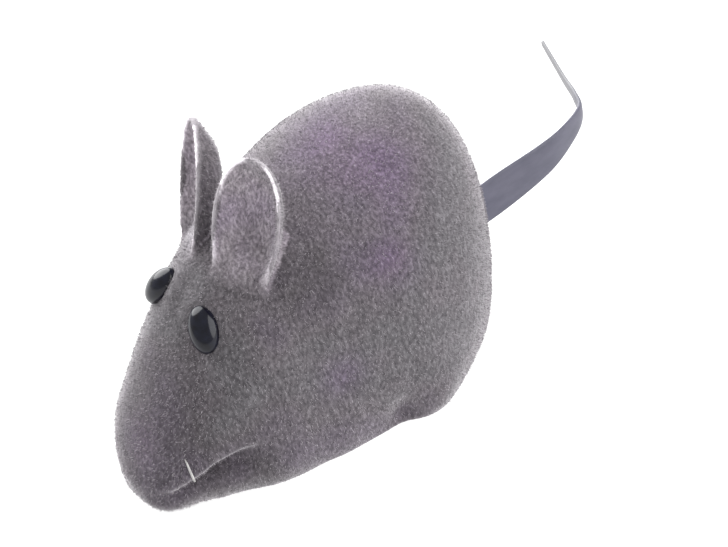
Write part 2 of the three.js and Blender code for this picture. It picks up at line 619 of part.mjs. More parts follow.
// Two rounded wings, one each way from the hub, each with a finger hole.
function windingKey() {
  const hub = solid(rodX(KEY_HUB[1], KEY_HUB[0], KEY_HUB_RADIUS, [0, 0]));
  const bore = solid(rodX(KEY_BORE_END, KEY_HUB[0] + 1, 1.4 + BORE_GAP, [0, 0]));
  const wings = [-1, 1].map((side) => {
    const lobe = new THREE.CylinderGeometry(3.9, 3.9, 1.2, 24).rotateX(Math.PI / 2);
    const finger = new THREE.CylinderGeometry(1.9, 1.9, 3, 16).rotateX(Math.PI / 2);
    const neck = box(-28.6, -23.5, Math.min(0, side * 5), Math.max(0, side * 5), -0.6, 0.6);
    return solid(lobe.translate(-27.4, side * 4.1, 0)).add(solid(neck))
      .subtract(solid(finger.translate(-27.4, side * 4.1, 0)));
  });
  return join(hub, ...wings).subtract(bore);
}

place('winding_key', geometryOf(windingKey()).translate(0, ...MAIN), STEEL);

const SPRING_TURNS = 5;
const SPRING_RADII = [2.1, 7.4];
const SPRING_THICK = 0.3;
const SPRING_X = [-5, -0.3];

function mainspring() {
  const steps = SPRING_TURNS * 14;
  const side = (offset) => Array.from({ length: steps + 1 }, (_, i) => {
    const angle = 2 * Math.PI * SPRING_TURNS * i / steps;
    const reach = SPRING_RADII[0] + (SPRING_RADII[1] - SPRING_RADII[0]) * i / steps + offset;
    return [MAIN[0] + reach * Math.cos(angle), MAIN[1] + reach * Math.sin(angle)];
  });
  return flatX([...side(SPRING_THICK / 2), ...side(-SPRING_THICK / 2).reverse()], ...SPRING_X);
}

place('mainspring', mainspring(), DARK_STEEL);

// ---- movement plates and pillars ----

const PILLARS = [[-8.7, 6.4], [-9.6, 18.6], [15.6, 5.7], [12.8, 27.4]];
const PLATE_OUTLINE = [
  [-11.6, BASE_TOP + GAP], [18, BASE_TOP + GAP], [19.6, 6], [19.6, 21], [15.6, 28.4], [13.4, 30], [11, 30],
  [-4, 26.6], [-11.6, 20.6],
];

function movementPlate(side) {
  const [x0, x1] = side < 0 ? [-PLATE_OUTER, -PLATE_INNER] : [PLATE_INNER, PLATE_OUTER];
  const sheet = solid(flatX(PLATE_OUTLINE, x0, x1));
  const tabs = TABS.map(([y0, y1]) => solid(box(x0, x1, y0, y1, BASE_BOTTOM + 0.2, BASE_TOP + 1)));
  const hole = (centre, radius) => solid(rodX(x0 - 1, x1 + 1, radius, centre));
  const holes = [
    hole(MAIN, MAIN_RADIUS + BORE_GAP), hole(SECOND, ARBOR_RADIUS + BORE_GAP),
    hole(THIRD, ARBOR_RADIUS + BORE_GAP), hole(DRIVE, AXLE_RADIUS + BORE_GAP),
    ...PILLARS.map((centre) => hole(centre, 0.6 + BORE_GAP)),
  ];
  return join(sheet, ...tabs).subtract(join(...holes));
}

place('frame_plate_left', geometryOf(movementPlate(1)), STEEL);
place('frame_plate_right', geometryOf(movementPlate(-1)), STEEL);

PILLARS.forEach((centre, i) => {
  const [shoulder, head] = [PLATE_INNER - GAP, PLATE_OUTER + GAP];
  const half = [[shoulder, 1], [shoulder, 0.6], [head, 0.6], [head, 1], [head + 0.4, 1], [head + 0.4, 0]];
  const other = half.map(([x, radius]) => [-x, radius]).reverse();
  place(`frame_pillar_${i + 1}`, turnedX([...other, ...half], centre, 10), STEEL);
});

// ---- drive wheels ----

for (const side of [-1, 1]) {
  const name = side < 0 ? 'right' : 'left';
  const [x0, x1] = side < 0 ? [-WHEEL_OUT, -WHEEL_IN] : [WHEEL_IN, WHEEL_OUT];
  const bore = AXLE_RADIUS + BORE_GAP;
  const rim = TYRE_INNER - BORE_GAP;
  const outer = side < 0 ? x0 : x1;
  const dish = outer - side * 0.7;
  const profile = [[x0, bore], [x0, rim], [x1, rim], [x1, bore], [x0, bore]];
  const disc = solid(turnedX(profile, DRIVE));
  const [d0, d1] = [Math.min(dish, outer + side), Math.max(dish, outer + side)];
  const recess = [[d0, 2.2], [d0, rim - 0.8], [d1, rim - 0.8], [d1, 2.2], [d0, 2.2]];
  place(`wheel_${name}`, geometryOf(disc.subtract(solid(turnedX(recess, DRIVE)))), WHEEL_PLASTIC);
  place(`tyre_${name}`, turnedX([
    [x0, TYRE_INNER], [x0, TYRE_RADIUS - 0.4], [x0 + 0.4, TYRE_RADIUS], [x1 - 0.4, TYRE_RADIUS],
    [x1, TYRE_RADIUS - 0.4], [x1, TYRE_INNER], [x0, TYRE_INNER],
  ], DRIVE, 24), RUBBER);
}

export default mouse;
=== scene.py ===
"""Clockwork mouse: the looks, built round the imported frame. Lengths in metres, +Z up, nose to -Y."""

import json
import math

import bmesh
import bpy
import numpy as np
from mathutils import Matrix, Vector

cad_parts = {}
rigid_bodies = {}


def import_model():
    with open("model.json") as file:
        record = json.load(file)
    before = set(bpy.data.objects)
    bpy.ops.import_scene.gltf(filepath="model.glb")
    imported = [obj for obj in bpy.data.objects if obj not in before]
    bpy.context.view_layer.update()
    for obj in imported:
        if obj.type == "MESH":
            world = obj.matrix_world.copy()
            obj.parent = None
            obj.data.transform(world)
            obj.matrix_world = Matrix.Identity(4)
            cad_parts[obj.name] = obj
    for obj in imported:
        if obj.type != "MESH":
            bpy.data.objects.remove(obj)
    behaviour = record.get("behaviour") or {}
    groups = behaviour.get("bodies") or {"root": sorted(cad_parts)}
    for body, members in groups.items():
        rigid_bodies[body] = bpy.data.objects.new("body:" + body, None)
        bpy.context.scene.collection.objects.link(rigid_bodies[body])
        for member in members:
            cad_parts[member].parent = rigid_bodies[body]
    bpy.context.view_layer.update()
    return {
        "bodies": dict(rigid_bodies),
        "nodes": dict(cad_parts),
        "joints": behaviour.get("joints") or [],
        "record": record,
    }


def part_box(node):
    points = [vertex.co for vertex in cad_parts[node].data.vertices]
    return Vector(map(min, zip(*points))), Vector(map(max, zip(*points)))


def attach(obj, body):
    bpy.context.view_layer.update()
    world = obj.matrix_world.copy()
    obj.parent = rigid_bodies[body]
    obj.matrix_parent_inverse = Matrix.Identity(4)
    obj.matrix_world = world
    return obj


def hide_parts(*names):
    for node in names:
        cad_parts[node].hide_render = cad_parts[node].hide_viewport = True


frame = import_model()
NODES = frame["nodes"]
MM = 0.001

# ---- driving dimensions, in millimetres unless a name says otherwise ----

SHELL_LOW, SHELL_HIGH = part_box("body_shell")
NOSE_Y = SHELL_LOW.y / MM
LENGTH = (SHELL_HIGH.y - SHELL_LOW.y) / MM
RIM_Z = SHELL_LOW.z / MM
SIDES = {1: "left", -1: "right"}

PROFILE_LENGTH = 70  # nose to rump, as the body profiles below count it
SECTION_POWER = 2.2  # exponent of the rounded cross-section
SKIN_ROWS, SKIN_COLUMNS = 200, 180
SKIN_VOXEL = 0.35
RIM_INSET = 2.1  # how far the skin's lower edge turns in
SKIRT_HEIGHT = 5.0  # how far it then stands up inside

# centre and radius of each mauve patch of flock
MAUVE_PATCHES = [((9, 8, 44), 8), ((18, 4, 33), 4), ((17, -8, 18), 3.5), ((0, -35, 14), 4), ((2, 7, 46), 5)]
# behind each ear, where the flock is darkened by painted shade
SHADED_SPOT, SHADED_RADIUS = (12.5, -8.5, 34.0), 5.0

EAR_BASE = Vector((6.4, -16.6, 34.2))
EAR_TIP = Vector((7.6, -9.4, 55.4))
EAR_FACING = Vector((0.4, -0.87, 0.28))
EAR_HALF, EAR_DEPTH = 5.3, 4.9
EAR_CURL = math.radians(82)  # how far round each side of the ear's section turns
EAR_THICK = 0.5

MAIN = (9.5, 16.0)  # y, z of the winding arbor
DRIVE = (0.0, 7.0)
ROLLER = (-23.0, 4.0)
SCREW_YS = (-31.2, 21.2)
KEY_WELL, KEY_WELL_DEPTH = 2.3, 3.0
TAIL_SLOT, TAIL_SLOT_DEPTH = (0.85, 4.3), 2.0  # half width and half height, and depth
TAIL_SLOT_RISE = 0.5  # of the slot's middle over the tail's first point

# y of each eye and its angle round the section; the right one sits a little higher and further back
EYE_SEATS = {1: (-22.7, math.radians(67.7)), -1: (-21.4, math.radians(64.5))}
EYE_TILT = math.radians(30)
EYE_HALF = (2.35, 3.7, 2.4)  # half width, half height and height of the dome
EYE_EDGE, EYE_BURIED = 0.4, 1.5  # height of the dome's edge, and depth of the skirt under it
EYE_SINK = {1: 0.8, -1: 0.1}
# x, y, z and width of the tail strip
TAIL_ROUTE = (
    (0, 26, 14.7, 6.2), (0.3, 36.3, 15.3, 8), (1, 46.5, 16.6, 6.9), (0.4, 52.5, 17.3, 5.5),
    (-2, 58.8, 17.9, 3.6), (-5.7, 61.3, 18.4, 2.4), (-10.2, 63.1, 18.9, 1.8), (-18.4, 66.2, 20.9, 1.2),
)
TAIL_THICK = 0.85
TAIL_PALE_X = [-8, -1]  # where the tail's thin end is palest, and where the paleness ends

WHISKER_ROOT = (-32.8, math.radians(30))  # y, and the angle round the section
WHISKER_LENGTH, WHISKER_RADIUS = 3.3, 0.2
WHISKER_AIM = Vector((0.42, -0.12, -0.45)).normalized()
WHISKER_SAG = np.array([0.25, 0, -0.3])

TYRE_TREAD, TYRE_BORE = 7.0, 5.22
TREAD_RIBS, TREAD_NOTCHES = 3, (30, 0.14)
WHEEL_RIM, WHEEL_BORE, WHEEL_SPOKES = 4.92, 1.27, 6
KEY_LOBE, KEY_FINGER = 3.9, 1.9  # radii of a wing and of its finger hole
KEY_REACH = 4.1  # from the key's axis to the middle of a wing
KEY_HALF_THICK, KEY_ROUND = 0.42, 0.16
KEY_HUB_END = -26.6
BEAD_RADIUS, COLLAR_RADIUS = 0.22, 2.35

FLOCK_DEPTH = 0.15  # how far the skin lies inside the moulding's surface, under its fibres
FIBRES_EACH = 24000
FIBRE_LENGTH, FIBRE_WIDTH, FIBRE_FOOT = 0.5, 0.07, 0.12

VIEW_AZIMUTH, VIEW_ELEVATION, VIEW_ROLL = 60.0, 40.7, 13.0
VIEW_DISTANCE = 350.0
VIEW_TARGET = Vector((0, -3.5, 18.0))
VIEW_OFFSET = (10.26, 5.9)  # how far right of and above the target the camera looks
LENS, SENSOR = 112.33, 36.0


# ---- camera, floor and light ----


def make_camera():
    a, e, r = (math.radians(x) for x in (VIEW_AZIMUTH, VIEW_ELEVATION, VIEW_ROLL))
    back = Vector((math.sin(a) * math.cos(e), -math.cos(a) * math.cos(e), math.sin(e)))
    level = Vector((math.cos(a), math.sin(a), 0))
    rise = back.cross(level)
    right = level * math.cos(r) - rise * math.sin(r)
    up = level * math.sin(r) + rise * math.cos(r)
    place = VIEW_TARGET + back * VIEW_DISTANCE
    aim = VIEW_TARGET + right * VIEW_OFFSET[0] + up * VIEW_OFFSET[1]
    z = (place - aim).normalized()
    x = up.cross(z).normalized()
    y = z.cross(x)
    turn = Matrix((x, y, z)).transposed().to_4x4()
    data = bpy.data.cameras.new("camera")
    data.lens, data.sensor_width = LENS, SENSOR
    data.clip_start, data.clip_end = 0.01, 20
    camera = bpy.data.objects.new("camera", data)
    camera.matrix_world = Matrix.Translation(place * MM) @ turn
    bpy.context.scene.collection.objects.link(camera)
    bpy.context.scene.camera = camera


def make_floor():
    mesh = bpy.data.meshes.new("floor")
    half = 3.0
    corners = [(-half, -half, 0), (half, -half, 0), (half, half, 0), (-half, half, 0)]
    mesh.from_pydata(corners, [], [(0, 1, 2, 3)])
    floor = bpy.data.objects.new("floor", mesh)
    bpy.context.scene.collection.objects.link(floor)
    material = bpy.data.materials.new("floor_white")
    material.use_nodes = True
    shader = material.node_tree.nodes["Principled BSDF"]
    shader.inputs["Base Color"].default_value = (0.3, 0.3, 0.3, 1)
    shader.inputs["Roughness"].default_value = 0.9
    shader.inputs["Emission Color"].default_value = (1, 1, 1, 1)
    shader.inputs["Emission Strength"].default_value = 0.95
    mesh.materials.append(material)


def area_light(name, place, size, power, aim=(0, 0, 0.02)):
    data = bpy.data.lights.new(name, "AREA")
    data.shape = "DISK"
    data.size = size
    data.energy = power
    light = bpy.data.objects.new(name, data)
    light.location = place
    light.rotation_mode = "QUATERNION"
    light.rotation_quaternion = (Vector(place) - Vector(aim)).to_track_quat("Z", "Y")
    bpy.context.scene.collection.objects.link(light)


def make_light():
    world = bpy.data.worlds.new("studio")
    world.use_nodes = True
    world.node_tree.nodes["Background"].inputs["Color"].default_value = (1, 1, 1, 1)
    world.node_tree.nodes["Background"].inputs["Strength"].default_value = 0.75
    bpy.context.scene.world = world
    area_light("key_light", (-0.5, 0.04, 0.4), 0.9, 13.5)
    area_light("fill_light", (0.5, 0.4, 0.3), 0.9, 7.5)
    bpy.context.scene.view_settings.view_transform = "Standard"


# ---- mesh helpers ----


def mesh_object(name, points, faces, smooth=True):
    mesh = bpy.data.meshes.new(name)
    mesh.from_pydata([tuple(p) for p in np.asarray(points) * MM], [], faces)
    mesh.update()
    if smooth:
        mesh.shade_smooth()
    made = bpy.data.objects.new(name, mesh)
    bpy.context.scene.collection.objects.link(made)
    return made


def points_of(made):
    co = np.empty(len(made.data.vertices) * 3)
    made.data.vertices.foreach_get("co", co)
    return co.reshape(-1, 3) / MM


def set_points(made, points):
    made.data.vertices.foreach_set("co", (points * MM).ravel())
    made.data.update()


def normals_of(made):
    out = np.empty(len(made.data.vertices) * 3)
    made.data.vertices.foreach_get("normal", out)
    return out.reshape(-1, 3)


def store(made, name, values):
    """Stores a number for each vertex, for the materials to read."""
    layer = made.data.attributes.new(name, "FLOAT", "POINT")
    layer.data.foreach_set("value", values.astype(np.float32))


def edge_ends(made):
    ends = np.empty(2 * len(made.data.edges), dtype=int)
    made.data.edges.foreach_get("vertices", ends)
    return ends.reshape(-1, 2).T


def grid_faces(rows, columns, closed_rows=False):
    """Quads over rings of points that close on themselves; closed_rows joins the last ring to the first."""
    faces = []
    for row in range(rows if closed_rows else rows - 1):
        start, following = row * columns, (row + 1) % rows * columns
        for column in range(columns):
            beside = (column + 1) % columns
            faces.append((start + column, following + column, following + beside, start + beside))
    return faces


def closed_loft(rings, low_end, high_end):
    """Points and faces of a tube of rings, closed at both ends by a point. rings is rows x columns x 3."""
    rows, columns = rings.shape[:2]
    points = np.vstack([rings.reshape(-1, 3), low_end, high_end])
    faces = grid_faces(rows, columns)
    low, high = rows * columns, rows * columns + 1
    last = (rows - 1) * columns
    for column in range(columns):
        following = (column + 1) % columns
        faces.append((low, column, following))
        faces.append((high, last + following, last + column))
    return points, faces


def apply_modifiers(made):
    graph = bpy.context.evaluated_depsgraph_get()
    mesh = bpy.data.meshes.new_from_object(made.evaluated_get(graph))
    made.modifiers.clear()
    made.data = mesh


# ---- body shape ----


def along_body(pairs):
    """A body dimension by the angle that rounds both ends, from pairs of distance along and value."""
    at = np.array([[math.acos(1 - 2 * d / PROFILE_LENGTH), v] for d, v in pairs])
    slope = np.empty(len(at))
    slope[1:-1] = (at[2:, 1] - at[:-2, 1]) / (at[2:, 0] - at[:-2, 0])
    slope[0] = (at[1, 1] - at[0, 1]) / (at[1, 0] - at[0, 0])
    slope[-1] = (at[-1, 1] - at[-2, 1]) / (at[-1, 0] - at[-2, 0])

    def value(angle):
        i = np.clip(np.searchsorted(at[:, 0], angle, side="right") - 1, 0, len(at) - 2)
        span = at[i + 1, 0] - at[i, 0]
        t = np.clip((angle - at[i, 0]) / span, 0, 1)
        start = (1 + 2 * t) * (1 - t) ** 2 * at[i, 1] + t * (1 - t) ** 2 * span * slope[i]
        end = t * t * (3 - 2 * t) * at[i + 1, 1] - t * t * (1 - t) * span * slope[i + 1]
        return start + end

    return value


TOP = along_body([(0, 6.2), (2, 11.7), (7, 20.9), (14, 30.7), (28, 41.9), (42, 45.8), (54, 46.5),
                  (63, 43.9), (68, 36.1), (70, 21.8)])
HALF = along_body([(0, 0), (2, 6.9), (7, 10.6), (14, 12.5), (28, 16.1), (42, 19.9), (49, 20.3),
                   (56, 18.5), (63, 13.7), (68, 7.2), (70, 0)])
WIDEST = along_body([(0, 6.2), (2, 7), (7, 9.4), (14, 11.5), (28, 14.8), (42, 18.2), (56, 20.6),
                     (70, 21.8)])
BOTTOM = along_body([(0, 6.2), (2, 1), (7, -1.8), (14, -3.6), (21, -6.5), (28, -9.5), (42, -14.5),
                     (49, -13), (56, -8), (63, -4), (68, 9), (70, 21.8)])


def body_points(angle, turn):
    power = 2 / SECTION_POWER
    across = np.sign(np.cos(turn)) * np.abs(np.cos(turn)) ** power
    rise = np.sign(np.sin(turn)) * np.abs(np.sin(turn)) ** power
    widest = WIDEST(angle)
    reach = np.where(rise > 0, TOP(angle) - widest, widest - BOTTOM(angle))
    y = NOSE_Y + LENGTH * (1 - np.cos(angle)) / 2 + 0 * turn
    return np.stack([HALF(angle) * across, y, widest + reach * rise], axis=-1)


def angle_at(y):
    return math.acos(1 - 2 * (y - NOSE_Y) / LENGTH)


def body_point(angle, turn):
    return Vector(body_points(np.array([angle]), np.array([turn]))[0])


def body_loft():
    angle = np.linspace(0, math.pi, SKIN_ROWS + 2)[1:-1]
    turn = np.linspace(0, 2 * math.pi, SKIN_COLUMNS, endpoint=False)
    rings = body_points(angle[:, None], turn[None, :])
    ends = body_points(np.array([0.0, math.pi]), np.array([0.0, 0.0]))
    ends[:, 0] = 0
    return closed_loft(rings, ends[0], ends[1])


def ear_axes(side):
    """Origin, and the wide, long and facing axes, of the ear on one side of the head."""
    flip = Vector((side, 1, 1))
    base, tip, facing = EAR_BASE * flip, EAR_TIP * flip, EAR_FACING * flip
    long = (tip - base).normalized()
    facing = (facing - long * facing.dot(long)).normalized()
    return base, (tip - base).length, long.cross(facing), long, facing


def from_ear(vectors, side):
    """Vectors by the wide, long and facing axes of one ear."""
    _, _, wide, long, facing = ear_axes(side)
    return vectors @ np.array([wide, long, facing]).T


def ear_loft(side):
    """A cupped leaf: each section is a deep curve of even thickness with rounded rims."""
    base, length, wide, long, facing = ear_axes(side)
    v = np.linspace(-0.2, 1, 90)[:-1]
    phi = np.linspace(0, 2 * math.pi, 72, endpoint=False)
    upper = np.sqrt(np.clip(1 - ((v - 0.5) / 0.5).clip(0) ** 2.2, 0, 1))
    half = EAR_HALF * upper - 2.1 * ((0.5 - v) / 0.5).clip(0) ** 1.6
    depth = EAR_DEPTH * half / EAR_HALF * np.interp(v, [-0.2, 0, 0.3, 0.8, 1], [0.5, 0.7, 1, 0.9, 0.5])
    thick = EAR_THICK * np.interp(v, [-0.2, 0, 0.3, 1], [2.4, 1.8, 1.1, 1.0])
    theta = EAR_CURL * np.cos(phi)[None, :]
    lift = (np.sign(np.sin(phi)) * np.abs(np.sin(phi)) ** 0.5)[None, :] * thick[:, None]
    x = half[:, None] * np.sin(theta) / math.sin(EAR_CURL) + lift * np.sin(theta)
    low = math.cos(EAR_CURL)
    z = -depth[:, None] * (np.cos(theta) - low) / (1 - low) - lift * np.cos(theta)
    y = (v * length)[:, None] + 0 * theta
    axes = np.array([wide, long, facing])
    rings = np.stack([x, y, z], axis=-1) @ axes + np.array(base)
    points, faces = closed_loft(rings, rings[0].mean(axis=0), np.array(base + long * length))
    return points, faces if side > 0 else [face[::-1] for face in faces]


# Swellings and hollows: centre, radii along x, y and z, and height. x is taken without its sign.
SWELLS = [
    ((14.2, -17.5, 10.0), (5, 5.0, 6.5), 0.9),
    ((15.4, -9.5, 7.0), (6, 4.5, 5.5), 0.55),
    ((16.0, -12.4, 5.0), (6, 1.8, 4.0), -0.3),
    ((17.5, -2.0, 3.0), (6, 4.5, 5.0), -0.2),
    ((16.0, -9.0, 3.0), (6, 5.0, 5.0), 0.5),
    ((6.0, 33.0, 8.0), (9, 5.0, 7.0), -0.8),
    ((3.5, -37.0, 3.5), (4, 3.0, 2.2), 0.3),
    ((13.0, -18.5, 3.5), (6, 7.0, 5.5), 1.0),
    ((2.4, -21.3, 33.8), (3.2, 3.4, 3.4), 0.8),
    ((18.4, 0.8, 4.6), (5, 2.3, 3.6), -1.4),
    ((18.8, 6.6, 4.5), (6, 4.6, 5.0), 1.3),
    ((10.5, -33.5, 13.5), (4, 5.5, 3.0), 0.35),
]
LIP_Y = [-38.5, -36.2, -33.3, -29.6, -26.9, -21]
LIP_Z = [6.0, 7.6, 9.2, 11.0, 11.4, 12.4]
RECESS = [1.6, 2.4, 3.6, 4.5, 3.4, 0.0]
JAW_Y = [-38.5, -36, -32, -28]
JAW_SHARE = [0.15, 0.25, 0.35, 0.2]  # how much of the recess the jaw keeps
JAW_TOP = 7.2


def both_sides(points):
    """Points with x taken without its sign."""
    mirrored = points.copy()
    mirrored[:, 0] = np.abs(mirrored[:, 0])
    return mirrored


def sculpt(made):
    """Raises the swellings, presses in the mouth, and leaves room for the flock."""
    points, normals = points_of(made), normals_of(made)
    mirrored = both_sides(points)
    height = mouth_height(mirrored)
    for centre, radii, amount in SWELLS:
        away = ((mirrored - np.array(centre)) / np.array(radii)) ** 2
        height += amount * np.exp(-away.sum(axis=1))
    on_ear = np.zeros(len(points), dtype=bool)
    for side in (-1, 1):
        local = from_ear(points - np.array(ear_axes(side)[0]), side)
        on_ear |= (np.abs(local[:, 0]) < 7) & (local[:, 1] > 1) & (np.abs(local[:, 2]) < 6)
    height -= np.where(on_ear, 0, FLOCK_DEPTH)
    set_points(made, points + normals * height[:, None])


def mouth_height(points):
    """The recess under the lip: it starts at a line that climbs away from the nose, and fades out behind."""
    x, y, z = points.T
    under = 1 / (1 + np.exp((z - np.interp(y, LIP_Y, LIP_Z)) / 0.45))
    jaw = np.interp(y, JAW_Y, JAW_SHARE)
    above_jaw = jaw + (1 - jaw) / (1 + np.exp((JAW_TOP - z) / 0.5))
    return -np.interp(y, LIP_Y, RECESS) * under * above_jaw * (y < -21) * (z < 16)


def step_down(value, edge, width):
    return 1 / (1 + np.exp((value - edge) / width))


def sink_wells(made):
    """Presses in the hole that the winding arbor comes out of and the slot that holds the tail."""
    points = points_of(made)
    x, y, z = points.T
    round_key = np.hypot(y - MAIN[0], z - MAIN[1])
    points[:, 0] += np.where(x < -10, KEY_WELL_DEPTH * step_down(round_key, KEY_WELL, 0.09), 0)
    tail_z = TAIL_ROUTE[0][2] + TAIL_SLOT_RISE
    across = step_down(np.abs(x), TAIL_SLOT[0], 0.08) * step_down(np.abs(z - tail_z), TAIL_SLOT[1], 0.1)
    points[:, 1] -= np.where(y > 20, TAIL_SLOT_DEPTH * across, 0)
    set_points(made, points)


def smooth_ear_roots(made):
    """Rounds the corner between each ear and the head."""
    a, b = edge_ends(made)
    points = points_of(made)
    weight = np.full(len(points), 0.12)
    for side in (-1, 1):
        base, length, _, long, _ = ear_axes(side)
        local = from_ear(points - np.array(base + long * length * 0.02), side)
        reach = (local / np.array([6.0, 3.2, 6.0])) ** 2
        weight = np.maximum(weight, 0.85 * np.exp(-reach.sum(axis=1) * 1.4))
    count = np.bincount(np.append(a, b), minlength=len(points))
    for step in range(30):
        total = np.zeros_like(points)
        for axis in range(3):
            total[:, axis] = (
                np.bincount(a, points[b, axis], len(points)) + np.bincount(b, points[a, axis], len(points))
            )
        mean = total / count[:, None]
        share = weight if step < 4 else np.where(weight > 0.13, weight, 0)
        points += (mean - points) * share[:, None]
    set_points(made, points)


def make_skin():
    points, faces = body_loft()
    made = mesh_object("body_skin", points, faces)
    parts = [mesh_object("ear", *ear_loft(side)) for side in (-1, 1)]
    bm = bmesh.new()
    for part in [made] + parts:
        bm.from_mesh(part.data)
    bm.to_mesh(made.data)
    bm.free()
    for part in parts:
        bpy.data.objects.remove(part)
    remesh = made.modifiers.new("voxels", "REMESH")
    remesh.mode = "VOXEL"
    remesh.voxel_size = SKIN_VOXEL * MM
    apply_modifiers(made)
    smooth_ear_roots(made)
    sculpt(made)
    sink_wells(made)
    cut_rim(made)
    mark_rims(made)
    mark_tones(made)
    made.data.shade_smooth()
    return made


def mark_rims(made):
    """Stores how sharply the skin bends outwards, as the mask for a painted sheen on thin rims."""
    count = len(made.data.vertices)
    a, b = edge_ends(made)
    points, normals = points_of(made), normals_of(made)
    degree = np.maximum(np.bincount(np.append(a, b), minlength=count), 1)

    def around(values):
        return (np.bincount(a, values[b], count) + np.bincount(b, values[a], count)) / degree

    mean = np.stack([around(points[:, axis]) for axis in range(3)], axis=1)
    bend = ((points - mean) * normals).sum(axis=1) / SKIN_VOXEL
    for _ in range(3):
        bend = around(bend)
    # painted sheen on the rims, strongest up the ears
    sheen_up_ears = np.interp(points[:, 2], [36, 45], [0.08, 1])  # up the ears
    store(made, "rim", sheen_up_ears * np.clip((bend - 0.035) / 0.12, 0, 1))


def mark_tones(made):
    """Stores painted shade on the flock (towards the nose, behind each ear and under the lip), painted light
    inside the ears, and mauve in patches.
    """
    points = points_of(made)
    # painted shade: the flock darkens towards the nose
    wear_and_painted_shade = np.interp(points[:, 1], [-30, -12], [1, 0])
    mirrored = both_sides(points)
    from_spot = ((mirrored - np.array(SHADED_SPOT)) ** 2).sum(axis=1)
    # painted shade behind each ear, where the ear shades the head
    wear_and_painted_shade = np.maximum(wear_and_painted_shade, 1.6 * np.exp(-from_spot / SHADED_RADIUS**2))
    # painted shade in the hollow under the lip, as deep as the recess
    wear_and_painted_shade = np.maximum(wear_and_painted_shade, np.clip(-mouth_height(mirrored), 0, 2))
    # painted light: the inside of each ear is lightened where it faces forward
    ear_painted_light = np.zeros(len(points))
    for side in (-1, 1):
        base, length, _, _, _ = ear_axes(side)
        local = from_ear(points - np.array(base), side)
        inside = (np.abs(local[:, 0]) < EAR_HALF - 0.6) & (local[:, 1] > 1) & (local[:, 1] < length - 0.5)
        inside &= np.abs(local[:, 2]) < EAR_DEPTH + 1
        fronting = np.clip(from_ear(normals_of(made), side)[:, 2] * 2, 0, 1)
        ear_painted_light = np.maximum(ear_painted_light, inside * fronting * np.interp(local[:, 1], [1, 5], [0, 1]))
    mauve = np.zeros(len(points))
    for centre, radius in MAUVE_PATCHES:
        mauve = np.maximum(mauve, np.exp(-((points - np.array(centre)) ** 2).sum(axis=1) / radius**2))
    store(made, "wear_and_painted_shade", wear_and_painted_shade)
    store(made, "ear_painted_light", ear_painted_light)
    store(made, "mauve", mauve)


def cut_rim(made):
    """Cuts the skin flat at its lower edge and turns the edge in and up."""
    bm = bmesh.new()
    bm.from_mesh(made.data)
    geometry = bm.verts[:] + bm.edges[:] + bm.faces[:]
    bmesh.ops.bisect_plane(
        bm, geom=geometry, plane_co=(0, 0, RIM_Z * MM), plane_no=(0, 0, -1), clear_outer=True
    )
    edge = [e for e in bm.edges if e.is_boundary]
    for inset, rise in ((RIM_INSET * 0.5, 0.0), (RIM_INSET * 0.5, 0.25), (0.0, SKIRT_HEIGHT)):
        made_edge = bmesh.ops.extrude_edge_only(bm, edges=edge)["geom"]
        moved = [v for v in made_edge if isinstance(v, bmesh.types.BMVert)]
        for v in moved:
            outward = Vector((v.co.x, v.co.y + 0.004, 0)).normalized()
            v.co -= outward * inset * MM
            v.co.z += rise * MM
        edge = [e for e in made_edge if isinstance(e, bmesh.types.BMEdge) and e.is_boundary]
    bmesh.ops.recalc_face_normals(bm, faces=bm.faces)
    bm.to_mesh(made.data)
    bm.free()


# ---- flock fibres ----


def eye_frame(side):
    """Where an eye sits on the skin: a matrix whose axes run across it, up it and out of it."""
    seat_y, seat_turn = EYE_SEATS[side]
    angle, step = angle_at(seat_y), 0.02
    here = body_point(angle, seat_turn)
    ahead = body_point(angle + step, seat_turn) - here
    around = body_point(angle, seat_turn + step) - body_point(angle, seat_turn - step)
    out = ahead.cross(around).normalized()
    up = around.normalized()
    across = up.cross(out)
    frame = Matrix((across, up, out)).transposed().to_4x4()
    frame.translation = here - out * EYE_SINK[side]
    frame = frame @ Matrix.Rotation(-EYE_TILT, 4, "Z")
    return Matrix.Diagonal((side, 1, 1, 1)) @ frame


def skin_samples(made, count, generator):
    """Random places on the outside of the skin, with their normals and rim values."""
    made.data.calc_loop_triangles()
    corners = np.empty(3 * len(made.data.loop_triangles), dtype=int)
    made.data.loop_triangles.foreach_get("vertices", corners)
    corners = corners.reshape(-1, 3)
    points, normals = points_of(made), normals_of(made)
    rim = np.empty(len(points), dtype=np.float32)
    made.data.attributes["rim"].data.foreach_get("value", rim)
    first, second, third = (points[corners[:, k]] for k in range(3))
    cross = np.cross(second - first, third - first)
    centre = points[corners].mean(axis=1)
    outward = (cross[:, :2] * (centre[:, :2] - np.array([0, -4.0]))).sum(axis=1) > 0
    usable = (centre[:, 2] > RIM_Z + 0.5) & (outward | (centre[:, 2] > 14))
    for side in (-1, 1):
        local = (centre - np.array(eye_frame(side).translation)) @ np.array(eye_frame(side).to_3x3())
        usable &= ((local[:, :2] / (np.array(EYE_HALF[:2]) * 0.94)) ** 2).sum(axis=1) > 1
    usable &= np.hypot(centre[:, 1] - MAIN[0], centre[:, 2] - MAIN[1]) > np.where(centre[:, 0] < -10, 2.5, 0)
    weight = np.linalg.norm(cross, axis=1) * usable
    chosen = generator.choice(len(corners), count, p=weight / weight.sum())
    share = generator.dirichlet((1, 1, 1), count)
    at = (points[corners[chosen]] * share[..., None]).sum(axis=1)
    normal = (normals[corners[chosen]] * share[..., None]).sum(axis=1)
    normal /= np.linalg.norm(normal, axis=1)[:, None]
    return at, normal, (rim[corners[chosen]] * share).sum(axis=1)


